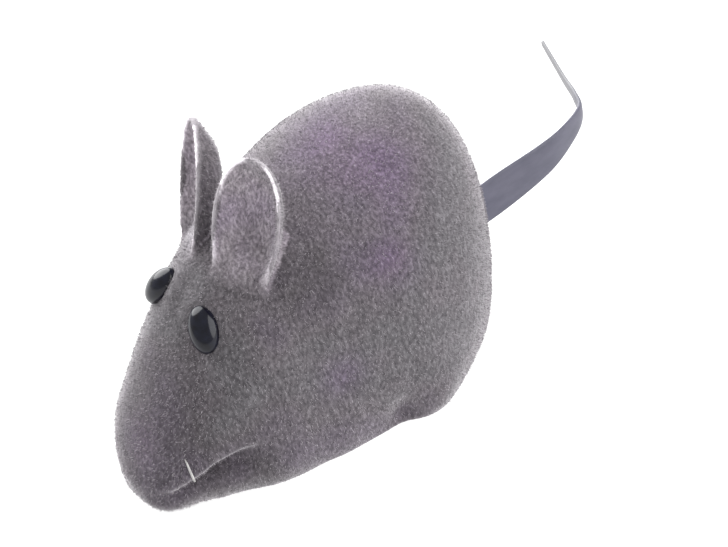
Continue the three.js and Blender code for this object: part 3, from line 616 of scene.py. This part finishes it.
def make_fibres(name, made, seed, length, crowd_for_rim_sheen):
    """Short three-sided spikes that lean every way, and a little downwards."""
    generator = np.random.default_rng(seed)
    at, normal, rim = skin_samples(made, FIBRES_EACH * (3 if crowd_for_rim_sheen else 1), generator)
    # painted sheen: the pale fibres are crowded onto sharp rims
    if crowd_for_rim_sheen:
        odds = 0.07 + 3 * rim
        kept = generator.choice(len(at), FIBRES_EACH, replace=False, p=odds / odds.sum())
        at, normal = at[kept], normal[kept]
    lean = generator.normal(0, 0.45, (len(at), 3)) + np.array([0, 0, -0.25])
    aim = normal + lean - normal * (normal * lean).sum(axis=1)[:, None]
    aim /= np.linalg.norm(aim, axis=1)[:, None]
    side = np.cross(aim, generator.normal(0, 1, (len(at), 3)))
    side /= np.linalg.norm(side, axis=1)[:, None]
    other = np.cross(aim, side)
    tall = length * generator.uniform(0.6, 1.15, (len(at), 1))
    half = FIBRE_WIDTH / 2
    foot = at - normal * FIBRE_FOOT
    back = foot - side * half * 0.5
    tip = foot + aim * (tall + FIBRE_FOOT)
    corners = [foot + side * half, back + other * half, back - other * half, tip]
    points = np.stack(corners, axis=1).reshape(-1, 3)
    first = np.arange(0, 4 * len(at), 4)[:, None]
    faces = np.concatenate([first + np.array(f) for f in ((0, 2, 1), (0, 1, 3), (1, 2, 3), (2, 0, 3))])
    return mesh_object(name, points, faces.tolist(), smooth=False)


# ---- materials ----


def new_material(name, color, roughness, metallic=0.0):
    material = bpy.data.materials.new(name)
    material.use_nodes = True
    shader = material.node_tree.nodes["Principled BSDF"]
    shader.inputs["Base Color"].default_value = (*color, 1)
    shader.inputs["Roughness"].default_value = roughness
    shader.inputs["Metallic"].default_value = metallic
    return material, material.node_tree, shader


def attribute(tree, name):
    layer = tree.nodes.new("ShaderNodeAttribute")
    layer.attribute_name = name
    return layer.outputs["Fac"]


def link_noise(tree, scale, detail, stretch=(1, 1, 1), distortion=0.0):
    place = tree.nodes.new("ShaderNodeTexCoord")
    mapping = tree.nodes.new("ShaderNodeMapping")
    mapping.inputs["Scale"].default_value = stretch
    tree.links.new(place.outputs["Object"], mapping.inputs["Vector"])
    noise = tree.nodes.new("ShaderNodeTexNoise")
    noise.inputs["Scale"].default_value = scale
    noise.inputs["Detail"].default_value = detail
    noise.inputs["Distortion"].default_value = distortion
    tree.links.new(mapping.outputs["Vector"], noise.inputs["Vector"])
    return noise.outputs["Fac"]


def link_ramp(tree, factor, stops):
    ramp = tree.nodes.new("ShaderNodeValToRGB")
    while len(ramp.color_ramp.elements) < len(stops):
        ramp.color_ramp.elements.new(0.5)
    for element, (position, color) in zip(ramp.color_ramp.elements, stops):
        element.position = position
        element.color = (*color, 1)
    tree.links.new(factor, ramp.inputs["Fac"])
    return ramp.outputs["Color"]


def link_mix(tree, blend, factor, a, b):
    mix = tree.nodes.new("ShaderNodeMix")
    mix.data_type = "RGBA"
    mix.blend_type = blend
    for value, socket in ((factor, mix.inputs[0]), (a, mix.inputs[6]), (b, mix.inputs[7])):
        if isinstance(value, bpy.types.NodeSocket):
            tree.links.new(value, socket)
        else:
            socket.default_value = value
    return mix.outputs[2]


def link_bump(tree, shader, height, strength, distance):
    bump = tree.nodes.new("ShaderNodeBump")
    bump.inputs["Strength"].default_value = strength
    bump.inputs["Distance"].default_value = distance * MM
    tree.links.new(height, bump.inputs["Height"])
    tree.links.new(bump.outputs["Normal"], shader.inputs["Normal"])


def flock_material():
    material, tree, shader = new_material("flock", (0.2, 0.185, 0.195), 1.0)
    shader.inputs["Specular IOR Level"].default_value = 0.1
    shader.inputs["Sheen Weight"].default_value = 0.9
    shader.inputs["Sheen Roughness"].default_value = 0.35
    shader.inputs["Sheen Tint"].default_value = (1, 0.97, 1, 1)
    speck = link_noise(tree, 2300, 4, (1, 1, 0.5))
    cloud = link_noise(tree, 75, 2)
    blotch = link_noise(tree, 260, 3, (1, 1, 0.7))
    base = link_ramp(tree, speck, [
        (0.3, (0.062, 0.055, 0.062)), (0.5, (0.105, 0.094, 0.103)), (0.72, (0.18, 0.163, 0.178)),
    ])
    tint = link_ramp(tree, cloud, [(0.36, (0.95, 1.0, 0.98)), (0.5, (1, 1, 1)), (0.66, (1.0, 0.96, 1.06))])
    shade = link_ramp(tree, blotch, [(0.3, (0.9, 0.9, 0.9)), (0.7, (1.08, 1.08, 1.08))])
    tinted = link_mix(tree, "MULTIPLY", 1.0, base, tint)
    shaded = link_mix(tree, "MULTIPLY", 1.0, tinted, shade)
    # painted sheen: sharp rims are lightened towards a pale grey
    with_painted_light = link_mix(tree, "MIX", attribute(tree, "rim"), shaded, (0.52, 0.49, 0.52, 1))
    # the tones darken the flock with painted shade, lighten the inside of the ears with painted light, and
    # tint patches mauve
    tones = {"wear_and_painted_shade": (0.72, 0.72, 0.72, 1), "ear_painted_light": (2.9, 2.9, 2.9, 1), "mauve": (1.08, 0.94, 1.16, 1)}
    for tone, color in tones.items():
        strength = link_mix(tree, "MIX", attribute(tree, tone), (1, 1, 1, 1), color)
        with_painted_light = link_mix(tree, "MULTIPLY", 1.0, with_painted_light, strength)
    tree.links.new(with_painted_light, shader.inputs["Base Color"])
    link_bump(tree, shader, speck, 0.5, 0.2)
    return material


def fibre_material(name, color):
    material, _, shader = new_material(name, color, 0.7)
    shader.inputs["Sheen Weight"].default_value = 0.3
    return material


# Two colours, noise scale and stretch, roughness range, metalness, and bump height in millimetres.
FINISHES = {
    "eye_gloss": ((0.002, 0.002, 0.005), (0.006, 0.007, 0.015), 900, (1, 1, 1), (0.12, 0.2), 0, 0.0),
    "whisker_nylon": ((0.3, 0.29, 0.29), (0.45, 0.44, 0.43), 1500, (1, 1, 0.2), (0.2, 0.4), 0, 0.01),
    "tail_vinyl": ((0.044, 0.044, 0.07), (0.07, 0.068, 0.1), 420, (1, 0.4, 1), (0.42, 0.62), 0, 0.04),
    "base_plastic": ((0.02, 0.02, 0.022), (0.034, 0.034, 0.037), 1400, (1, 1, 1), (0.42, 0.62), 0, 0.03),
    "screw_steel": ((0.5, 0.5, 0.52), (0.68, 0.68, 0.7), 2600, (1, 1, 0.3), (0.22, 0.42), 1, 0.01),
    "arbor_steel": ((0.5, 0.5, 0.52), (0.66, 0.66, 0.68), 2200, (6, 1, 1), (0.2, 0.4), 1, 0.01),
    "plate_steel": ((0.42, 0.43, 0.45), (0.6, 0.61, 0.63), 700, (1, 0.15, 2.5), (0.3, 0.5), 1, 0.02),
    "spring_steel": ((0.06, 0.075, 0.12), (0.16, 0.17, 0.2), 900, (0.3, 1, 1), (0.25, 0.45), 1, 0.01),
    "key_steel": ((0.55, 0.55, 0.56), (0.72, 0.72, 0.72), 500, (1, 1, 1), (0.14, 0.34), 1, 0.015),
    "gear_brass": ((0.5, 0.34, 0.13), (0.72, 0.52, 0.22), 800, (1, 0.4, 2), (0.22, 0.42), 1, 0.015),
    "wheel_plastic": ((0.36, 0.03, 0.022), (0.46, 0.05, 0.035), 900, (1, 1, 1), (0.3, 0.48), 0, 0.02),
    "tyre_rubber": ((0.012, 0.012, 0.012), (0.035, 0.034, 0.033), 1300, (1, 1, 1), (0.7, 0.92), 0, 0.05),
}


def finish_material(name):
    """A material with its own colour mottling, uneven polish and fine surface relief."""
    low, high, scale, stretch, polish, metallic, relief = FINISHES[name]
    material, tree, shader = new_material(name, high, polish[1], metallic)
    grain = link_noise(tree, scale, 4, stretch)
    stain = link_noise(tree, scale * 0.12, 2, (1, 1, 1), 0.6)
    base = link_ramp(tree, grain, [(0.32, low), (0.68, high)])
    wear_and_painted_shade = link_ramp(tree, stain, [(0.35, (0.86, 0.86, 0.87)), (0.65, (1.05, 1.05, 1.04))])
    tree.links.new(link_mix(tree, "MULTIPLY", 1.0, base, wear_and_painted_shade), shader.inputs["Base Color"])
    spread = tree.nodes.new("ShaderNodeMapRange")
    limits = {"From Min": 0.3, "From Max": 0.7, "To Min": polish[0], "To Max": polish[1]}
    for socket, value in limits.items():
        spread.inputs[socket].default_value = value
    tree.links.new(stain, spread.inputs["Value"])
    tree.links.new(spread.outputs["Result"], shader.inputs["Roughness"])
    if relief:
        link_bump(tree, shader, grain, 0.5, relief)
    return material


def pale_where_thin(material, color):
    """Pales the tail's thin end."""
    tree = material.node_tree
    base = tree.nodes["Principled BSDF"].inputs["Base Color"]
    tree.links.new(link_mix(tree, "MIX", attribute(tree, "thin"), base.links[0].from_socket, color), base)


MATERIALS = {name: finish_material(name) for name in FINISHES}
pale_where_thin(MATERIALS["tail_vinyl"], (0.17, 0.17, 0.18, 1))
MATERIALS["eye_gloss"].node_tree.nodes["Principled BSDF"].inputs["Specular IOR Level"].default_value = 0.28


replaced = set()


def add_piece(made, body, slot, *nodes):
    """Gives a new piece its finish and body, and the CAD nodes that it stands for."""
    if not made.data.materials:
        made.data.materials.append(MATERIALS[slot])
    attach(made, body)
    if nodes:
        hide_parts(*nodes)
        replaced.update(nodes)


# ---- eyes, whisker and tail ----


def make_eye(side):
    """A glossy bead: a domed face that turns under at its edge onto a short skirt."""
    rows, columns = 28, 64
    across, up, rise = EYE_HALF
    lift = np.linspace(-0.22, math.pi / 2, rows)[:-1]
    turn = np.linspace(0, 2 * math.pi, columns, endpoint=False)
    reach = np.cos(lift)[:, None]
    height = (rise - EYE_EDGE) * np.sin(lift) + EYE_EDGE
    reach, height = np.vstack([reach[:1] * 0.9, reach]), np.append(-EYE_BURIED, height)
    rings = np.stack([across * reach * np.cos(turn), up * reach * np.sin(turn),
                      height[:, None] + 0 * turn], axis=-1)
    points, faces = closed_loft(rings, np.array([0, 0, height[0] - 0.1]), np.array([0, 0, rise]))
    frame_at = eye_frame(side)
    points = np.array([frame_at @ Vector(p) for p in points])
    if side > 0:
        faces = [face[::-1] for face in faces]
    return mesh_object(f"eye_bead_{SIDES[side]}", points, faces)


def swept(name, centres, sections):
    """A closed tube through the centres; each section is columns x 3, relative to its centre."""
    rings = centres[:, None, :] + sections
    points, faces = closed_loft(rings, centres[0], centres[-1])
    made = mesh_object(name, points, faces)
    bm = bmesh.new()
    bm.from_mesh(made.data)
    bmesh.ops.recalc_face_normals(bm, faces=bm.faces)
    bm.to_mesh(made.data)
    bm.free()
    made.data.shade_smooth()
    return made


def smooth_path(points, steps):
    """A Catmull-Rom path through rows of numbers, at even parameter steps."""
    rows = np.array(points, dtype=float)
    padded = np.vstack([2 * rows[0] - rows[1], rows, 2 * rows[-1] - rows[-2]])
    at = np.linspace(0, len(rows) - 1, steps)
    i = np.minimum(at.astype(int), len(rows) - 2)
    t = (at - i)[:, None]
    p0, p1, p2, p3 = (padded[i + k] for k in range(4))
    return 0.5 * (2 * p1 + (p2 - p0) * t + (2 * p0 - 5 * p1 + 4 * p2 - p3) * t**2
                  + (3 * p1 - p0 - 3 * p2 + p3) * t**3)


def make_tail():
    """A flat strip on edge with rounded edges, which thins towards its tip."""
    path = smooth_path(TAIL_ROUTE, 160)
    centres, width = path[:, :3], path[:, 3]
    along = np.gradient(centres, axis=0)
    flat = np.stack([along[:, 1], -along[:, 0], 0 * along[:, 0]], axis=1)
    flat /= np.linalg.norm(flat, axis=1)[:, None]
    turn = np.linspace(0, 2 * math.pi, 28, endpoint=False)
    c, s = np.cos(turn), np.sin(turn)
    thin = TAIL_THICK * np.interp(width, [0.9, 3], [0.62, 1]) / 2
    across = np.sign(c) * np.abs(c) ** 0.55 * thin[:, None]
    rise = np.sign(s) * np.abs(s) ** 0.75 * width[:, None] / 2
    sections = flat[:, None, :] * across[..., None]
    sections[..., 2] += rise
    strip = swept("tail_strip", centres, sections)
    store(strip, "thin", np.interp(points_of(strip)[:, 0], TAIL_PALE_X, [1, 0]))
    return strip


def make_whisker():
    root = body_point(angle_at(WHISKER_ROOT[0]), WHISKER_ROOT[1])
    t = np.linspace(-0.2, 1, 24)
    centres = np.array(root)[None, :] + np.array(WHISKER_AIM)[None, :] * (t * WHISKER_LENGTH)[:, None]
    centres += WHISKER_SAG[None, :] * (t.clip(0) ** 2)[:, None]
    side = WHISKER_AIM.orthogonal().normalized()
    other = WHISKER_AIM.cross(side)
    turn = np.linspace(0, 2 * math.pi, 12, endpoint=False)
    radius = WHISKER_RADIUS * np.interp(t, [0, 0.8, 1], [0.6, 0.95, 0.7])
    ring = np.cos(turn)[:, None] * np.array(side) + np.sin(turn)[:, None] * np.array(other)
    return swept("whisker_bristle", centres, radius[:, None, None] * ring[None, :, :])


# ---- turned pieces: wheels, tyres, roller, screws and key ----


def lathe(name, profile, centre, axis="X", sides=96, wave=None):
    """Turns a closed profile of (along, radius) about an axis. wave is (count, depth): notches round the
    widest part."""
    profile = np.array(profile, dtype=float)
    turn = np.linspace(0, 2 * math.pi, sides, endpoint=False)
    radius = profile[:, 1][:, None] + 0 * turn
    if wave:
        notch = np.clip(4 * np.cos(turn * wave[0]) - 1.5, 0, 1)
        widest = profile[:, 1].max()
        radius -= wave[1] * notch * (profile[:, 1] > widest - 0.05)[:, None]
    along = profile[:, 0][:, None] + 0 * turn
    across, up = centre[0] + radius * np.cos(turn), centre[1] + radius * np.sin(turn)
    rings = np.stack([along, across, up] if axis == "X" else [across, up, along], axis=-1)
    made = mesh_object(name, rings.reshape(-1, 3), grid_faces(len(profile), sides, closed_rows=True))
    tidy_mesh(made)
    return made


def tidy_mesh(made, sharp=35):
    """Merges doubled points, turns the faces outwards and keeps corners over sharp degrees crisp."""
    bm = bmesh.new()
    bm.from_mesh(made.data)
    bmesh.ops.remove_doubles(bm, verts=bm.verts, dist=1e-7)
    bmesh.ops.recalc_face_normals(bm, faces=bm.faces)
    bm.to_mesh(made.data)
    bm.free()
    made.data.shade_smooth()
    made.data.set_sharp_from_angle(angle=math.radians(sharp))


def join_into(made, *others):
    bm = bmesh.new()
    for part in (made, *others):
        bm.from_mesh(part.data)
    bm.to_mesh(made.data)
    bm.free()
    for part in others:
        bpy.data.objects.remove(part)
    tidy_mesh(made)
    return made


def rounded(made, width, segments=2):
    """Rounds the sharp edges of a piece."""
    bevel = made.modifiers.new("rounding", "BEVEL")
    bevel.width = width * MM
    bevel.segments = segments
    bevel.limit_method = "ANGLE"
    bevel.angle_limit = math.radians(32)
    return made


def block(name, low, high):
    (x0, y0, z0), (x1, y1, z1) = low, high
    points = [(x, y, z) for z in (z0, z1) for x, y in ((x0, y0), (x1, y0), (x1, y1), (x0, y1))]
    faces = [(0, 3, 2, 1), (4, 5, 6, 7), (0, 1, 5, 4), (1, 2, 6, 5), (2, 3, 7, 6), (3, 0, 4, 7)]
    return mesh_object(name, points, faces, smooth=False)


def carve(made, *tools):
    """Cuts the tools out of a piece."""
    for tool in tools:
        cut = made.modifiers.new("cut", "BOOLEAN")
        cut.operation = "DIFFERENCE"
        cut.solver = "EXACT"
        cut.object = tool
    apply_modifiers(made)
    for tool in tools:
        bpy.data.objects.remove(tool)
    tidy_mesh(made)
    return made


def make_wheel(side):
    """A dished disc with a raised hub and rim, and spokes between them."""
    low, high = (corner.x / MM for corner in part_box(f"wheel_{SIDES[side]}"))
    inner, outer = (low, high) if side > 0 else (high, low)
    rim, bore = WHEEL_RIM, WHEEL_BORE
    face, spoke = outer - side * 0.75, outer - side * 0.3
    profile = [
        (inner, bore), (inner, rim), (outer - side * 0.15, rim), (outer, rim - 0.15), (outer, rim - 0.6),
        (outer - side * 0.1, rim - 0.72), (face, rim - 0.9), (face, 2.3), (outer - side * 0.35, 2.1),
        (outer - side * 0.2, 1.9), (outer - side * 0.2, bore),
    ]
    wheel = lathe(f"wheel_disc_{SIDES[side]}", profile, DRIVE)
    ribs = []
    for i in range(WHEEL_SPOKES):
        rib = block("rib", (min(face, spoke), -0.28, 1.9), (max(face, spoke), 0.28, rim - 0.8))
        turned = np.array(points_of(rib))
        angle = 2 * math.pi * i / WHEEL_SPOKES
        y, z = turned[:, 1].copy(), turned[:, 2].copy()
        turned[:, 1] = DRIVE[0] + y * math.cos(angle) - z * math.sin(angle)
        turned[:, 2] = DRIVE[1] + y * math.sin(angle) + z * math.cos(angle)
        set_points(rib, turned)
        ribs.append(rib)
    return join_into(wheel, *ribs)


def make_tyre(side):
    """A tyre with round ribs, notched across."""
    low, high = (corner.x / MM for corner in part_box(f"tyre_{SIDES[side]}"))
    tread = TYRE_TREAD
    profile = [(low, TYRE_BORE), (low, tread - 0.6), (low + 0.12, tread - 0.28), (low + 0.4, tread - 0.05)]
    pitch = (high - low - 0.8) / (2 * TREAD_RIBS - 1)
    for i in range(TREAD_RIBS):
        start = low + 0.4 + 2 * i * pitch
        rib = ((0, 0.05), (0.15, 0), (0.85, 0), (1, 0.05))
        profile += [(start + pitch * at, tread - drop) for at, drop in rib]
        if i < TREAD_RIBS - 1:
            profile += [(start + pitch * at, tread - 0.2) for at in (1.1, 1.9)]
    profile += [(high - 0.12, tread - 0.28), (high, tread - 0.6), (high, TYRE_BORE)]
    return lathe(f"tyre_tread_{SIDES[side]}", profile, DRIVE, sides=180, wave=TREAD_NOTCHES)


def make_roller():
    """A drum with dished ends and five grooves."""
    low, high = (corner.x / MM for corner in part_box("front_roller"))
    end = [(0, 1.07), (0.15, 1.6), (0.15, 2.6), (0, 3.3), (0.1, 3.72), (0.4, 3.98)]
    profile = [(low + inward, radius) for inward, radius in end]
    for start in np.linspace(low + 0.7, high - 1.2, 5):
        profile += [(start, 4.0), (start + 0.1, 3.82), (start + 0.3, 3.82), (start + 0.4, 4.0)]
    profile += [(high - inward, radius) for inward, radius in reversed(end)]
    return lathe("roller_drum", profile, ROLLER, sides=120)


def make_screw(y, name):
    """A cross-slotted screw, head down, with a ridged shank."""
    low, high = (corner.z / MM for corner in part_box(f"base_{name}"))
    head = low + 0.8
    profile = [(low, 0.001), (low, 1.25), (low + 0.18, 1.55), (low + 0.4, 1.69), (head, 1.69), (head, 0.88)]
    z = head + 0.3
    while z < high - 0.8:
        profile += [(z, 0.7), (z + 0.25, 0.89), (z + 0.5, 0.7)]
        z += 0.55
    profile += [(high - 0.3, 0.6), (high, 0.001)]
    screw = lathe(name, profile, (0, y), axis="Z", sides=64)
    arms = ((1.05, 0.17), (0.17, 1.05))
    slots = [block("slot", (-a, y - b, low - 0.3), (a, y + b, low + 0.42)) for a, b in arms]
    return carve(screw, *slots)


def make_key():
    """Two rounded wings, each with a finger hole, on a turned hub with a rolled collar."""
    low, hub_out = (corner.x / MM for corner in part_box("winding_key"))
    lobe, reach = KEY_LOBE, KEY_REACH
    centre_x = low + lobe
    swing = math.acos(-1.2 / lobe)
    upper = [(centre_x + lobe * math.cos(a), reach + lobe * math.sin(a))
             for a in np.linspace(0, 2 * math.pi - swing, 40)]
    lower = [(x, -y) for x, y in reversed(upper)]
    curve = bpy.data.curves.new("wings", "CURVE")
    curve.dimensions = "2D"
    curve.fill_mode = "BOTH"
    curve.extrude = KEY_HALF_THICK * MM
    curve.bevel_depth = KEY_ROUND * MM
    curve.bevel_resolution = 3
    shrink = KEY_ROUND * 0.8
    outlines = [[(x + (shrink if x < centre_x else -shrink), y * 0.985) for x, y in upper + lower]]
    hole = KEY_FINGER + KEY_ROUND
    for side in (-1, 1):
        outlines.append([(centre_x + hole * math.cos(a), side * reach + hole * math.sin(a))
                         for a in np.linspace(0, 2 * math.pi, 40, endpoint=False)])
    for outline in outlines:
        spline = curve.splines.new("POLY")
        spline.points.add(len(outline) - 1)
        for point, (x, y) in zip(spline.points, outline):
            point.co = (x * MM, y * MM, 0, 1)
        spline.use_cyclic_u = True
    flat = bpy.data.objects.new("wings", curve)
    bpy.context.scene.collection.objects.link(flat)
    mesh = bpy.data.meshes.new_from_object(flat.evaluated_get(bpy.context.evaluated_depsgraph_get()))
    bpy.data.objects.remove(flat)
    wings = bpy.data.objects.new("wings", mesh)
    bpy.context.scene.collection.objects.link(wings)
    set_points(wings, points_of(wings) + np.array([0, MAIN[0], MAIN[1]]))
    hub_in = KEY_HUB_END
    profile = [
        (hub_in, 0.001), (hub_in, 2.2), (hub_in + 0.3, 2.5), (hub_in + 1.0, 2.55), (hub_in + 1.2, 2.3),
        (hub_out - 1.4, 2.3), (hub_out - 1.2, 2.55), (hub_out - 0.3, 2.58), (hub_out, 2.35),
        (hub_out, 1.65), (hub_out - 4.4, 1.65), (hub_out - 4.4, 0.001),
    ]
    hub = lathe("key_hub", profile, MAIN, sides=72)
    key = join_into(hub, wings)
    key.name = "key_butterfly"
    return key


def make_base_beads():
    """A raised bead round the underside of the base plate, and a collar round each screw."""
    plate = NODES["base_plate"]
    points = points_of(plate)
    bottom = points[points[:, 2] < points[:, 2].min() + 0.05][:, :2]
    middle = np.array([0, -2.0])
    angles = np.linspace(0, 2 * math.pi, 180, endpoint=False)
    directions = np.stack([np.cos(angles), np.sin(angles)], axis=1)
    reach = ((bottom - middle) @ directions.T).max(axis=0)
    slope = (np.roll(reach, -1) - np.roll(reach, 1)) / (2 * (angles[1] - angles[0]))
    normal = np.stack([-np.sin(angles), np.cos(angles)], axis=1)
    outline = middle + directions * (reach - 1.7)[:, None] + normal * slope[:, None]
    z = points[:, 2].min()
    beads = [ring_bead("base_bead", outline, z)]
    for y in SCREW_YS:
        circle = directions[::2] * COLLAR_RADIUS + (0, y)
        beads.append(ring_bead("collar", circle, z))
    return join_into(*beads)


def ring_bead(name, outline, z):
    """A round bead along a closed flat outline."""
    along = np.roll(outline, -1, axis=0) - np.roll(outline, 1, axis=0)
    out = np.stack([along[:, 1], -along[:, 0]], axis=1) / np.linalg.norm(along, axis=1)[:, None]
    turn = np.linspace(0, 2 * math.pi, 10, endpoint=False)
    rings = np.zeros((len(outline), len(turn), 3))
    rings[..., :2] = outline[:, None, :] + out[:, None, :] * BEAD_RADIUS * np.cos(turn)[None, :, None]
    rings[..., 2] = z + BEAD_RADIUS * np.sin(turn)
    return mesh_object(name, rings.reshape(-1, 3), grid_faces(len(outline), len(turn), closed_rows=True))


# ---- the whole mouse ----


make_camera()
make_floor()
make_light()

skin = make_skin()
skin.data.materials.append(flock_material())
add_piece(skin, "root", "flocked_vinyl", "body_shell")
# the pale fibres are partly the flock's real pale speckle and, crowded onto the rims, partly a painted sheen
for seed, name, color, length, rims in (
    (1, "flock_dark", (0.05, 0.044, 0.05), FIBRE_LENGTH * 0.9, False),
    (2, "flock_mid", (0.15, 0.134, 0.15), FIBRE_LENGTH, False),
    (3, "flock_light", (0.42, 0.39, 0.42), FIBRE_LENGTH * 1.05, True),
):
    fibres = make_fibres(name, skin, seed, length, rims)
    fibres.data.materials.append(fibre_material(name, color))
    add_piece(fibres, "root", "flocked_vinyl")

for side, name in SIDES.items():
    add_piece(make_eye(side), "root", "eye_gloss", f"eye_{name}")
add_piece(make_tail(), "root", "tail_vinyl", "tail")
add_piece(make_whisker(), "root", "whisker_nylon", "whisker")
for side, name in SIDES.items():
    add_piece(make_wheel(side), "drive", "wheel_plastic", f"wheel_{name}")
    add_piece(make_tyre(side), "drive", "tyre_rubber", f"tyre_{name}")
add_piece(make_roller(), "roller", "wheel_plastic", "front_roller")
for y, name in zip(SCREW_YS, ("screw_front", "screw_rear")):
    add_piece(make_screw(y, name), "root", "screw_steel", f"base_{name}")
add_piece(make_key(), "winding", "key_steel", "winding_key")
add_piece(make_base_beads(), "root", "base_plastic")

for part in frame["record"]["subparts"]:
    if part["node"] not in replaced:
        kept = NODES[part["node"]]
        kept.data.materials.clear()
        kept.data.materials.append(MATERIALS[part["material_slot"]])
        rounded(kept, 0.12 if part["node"] == "base_plate" else 0.05)
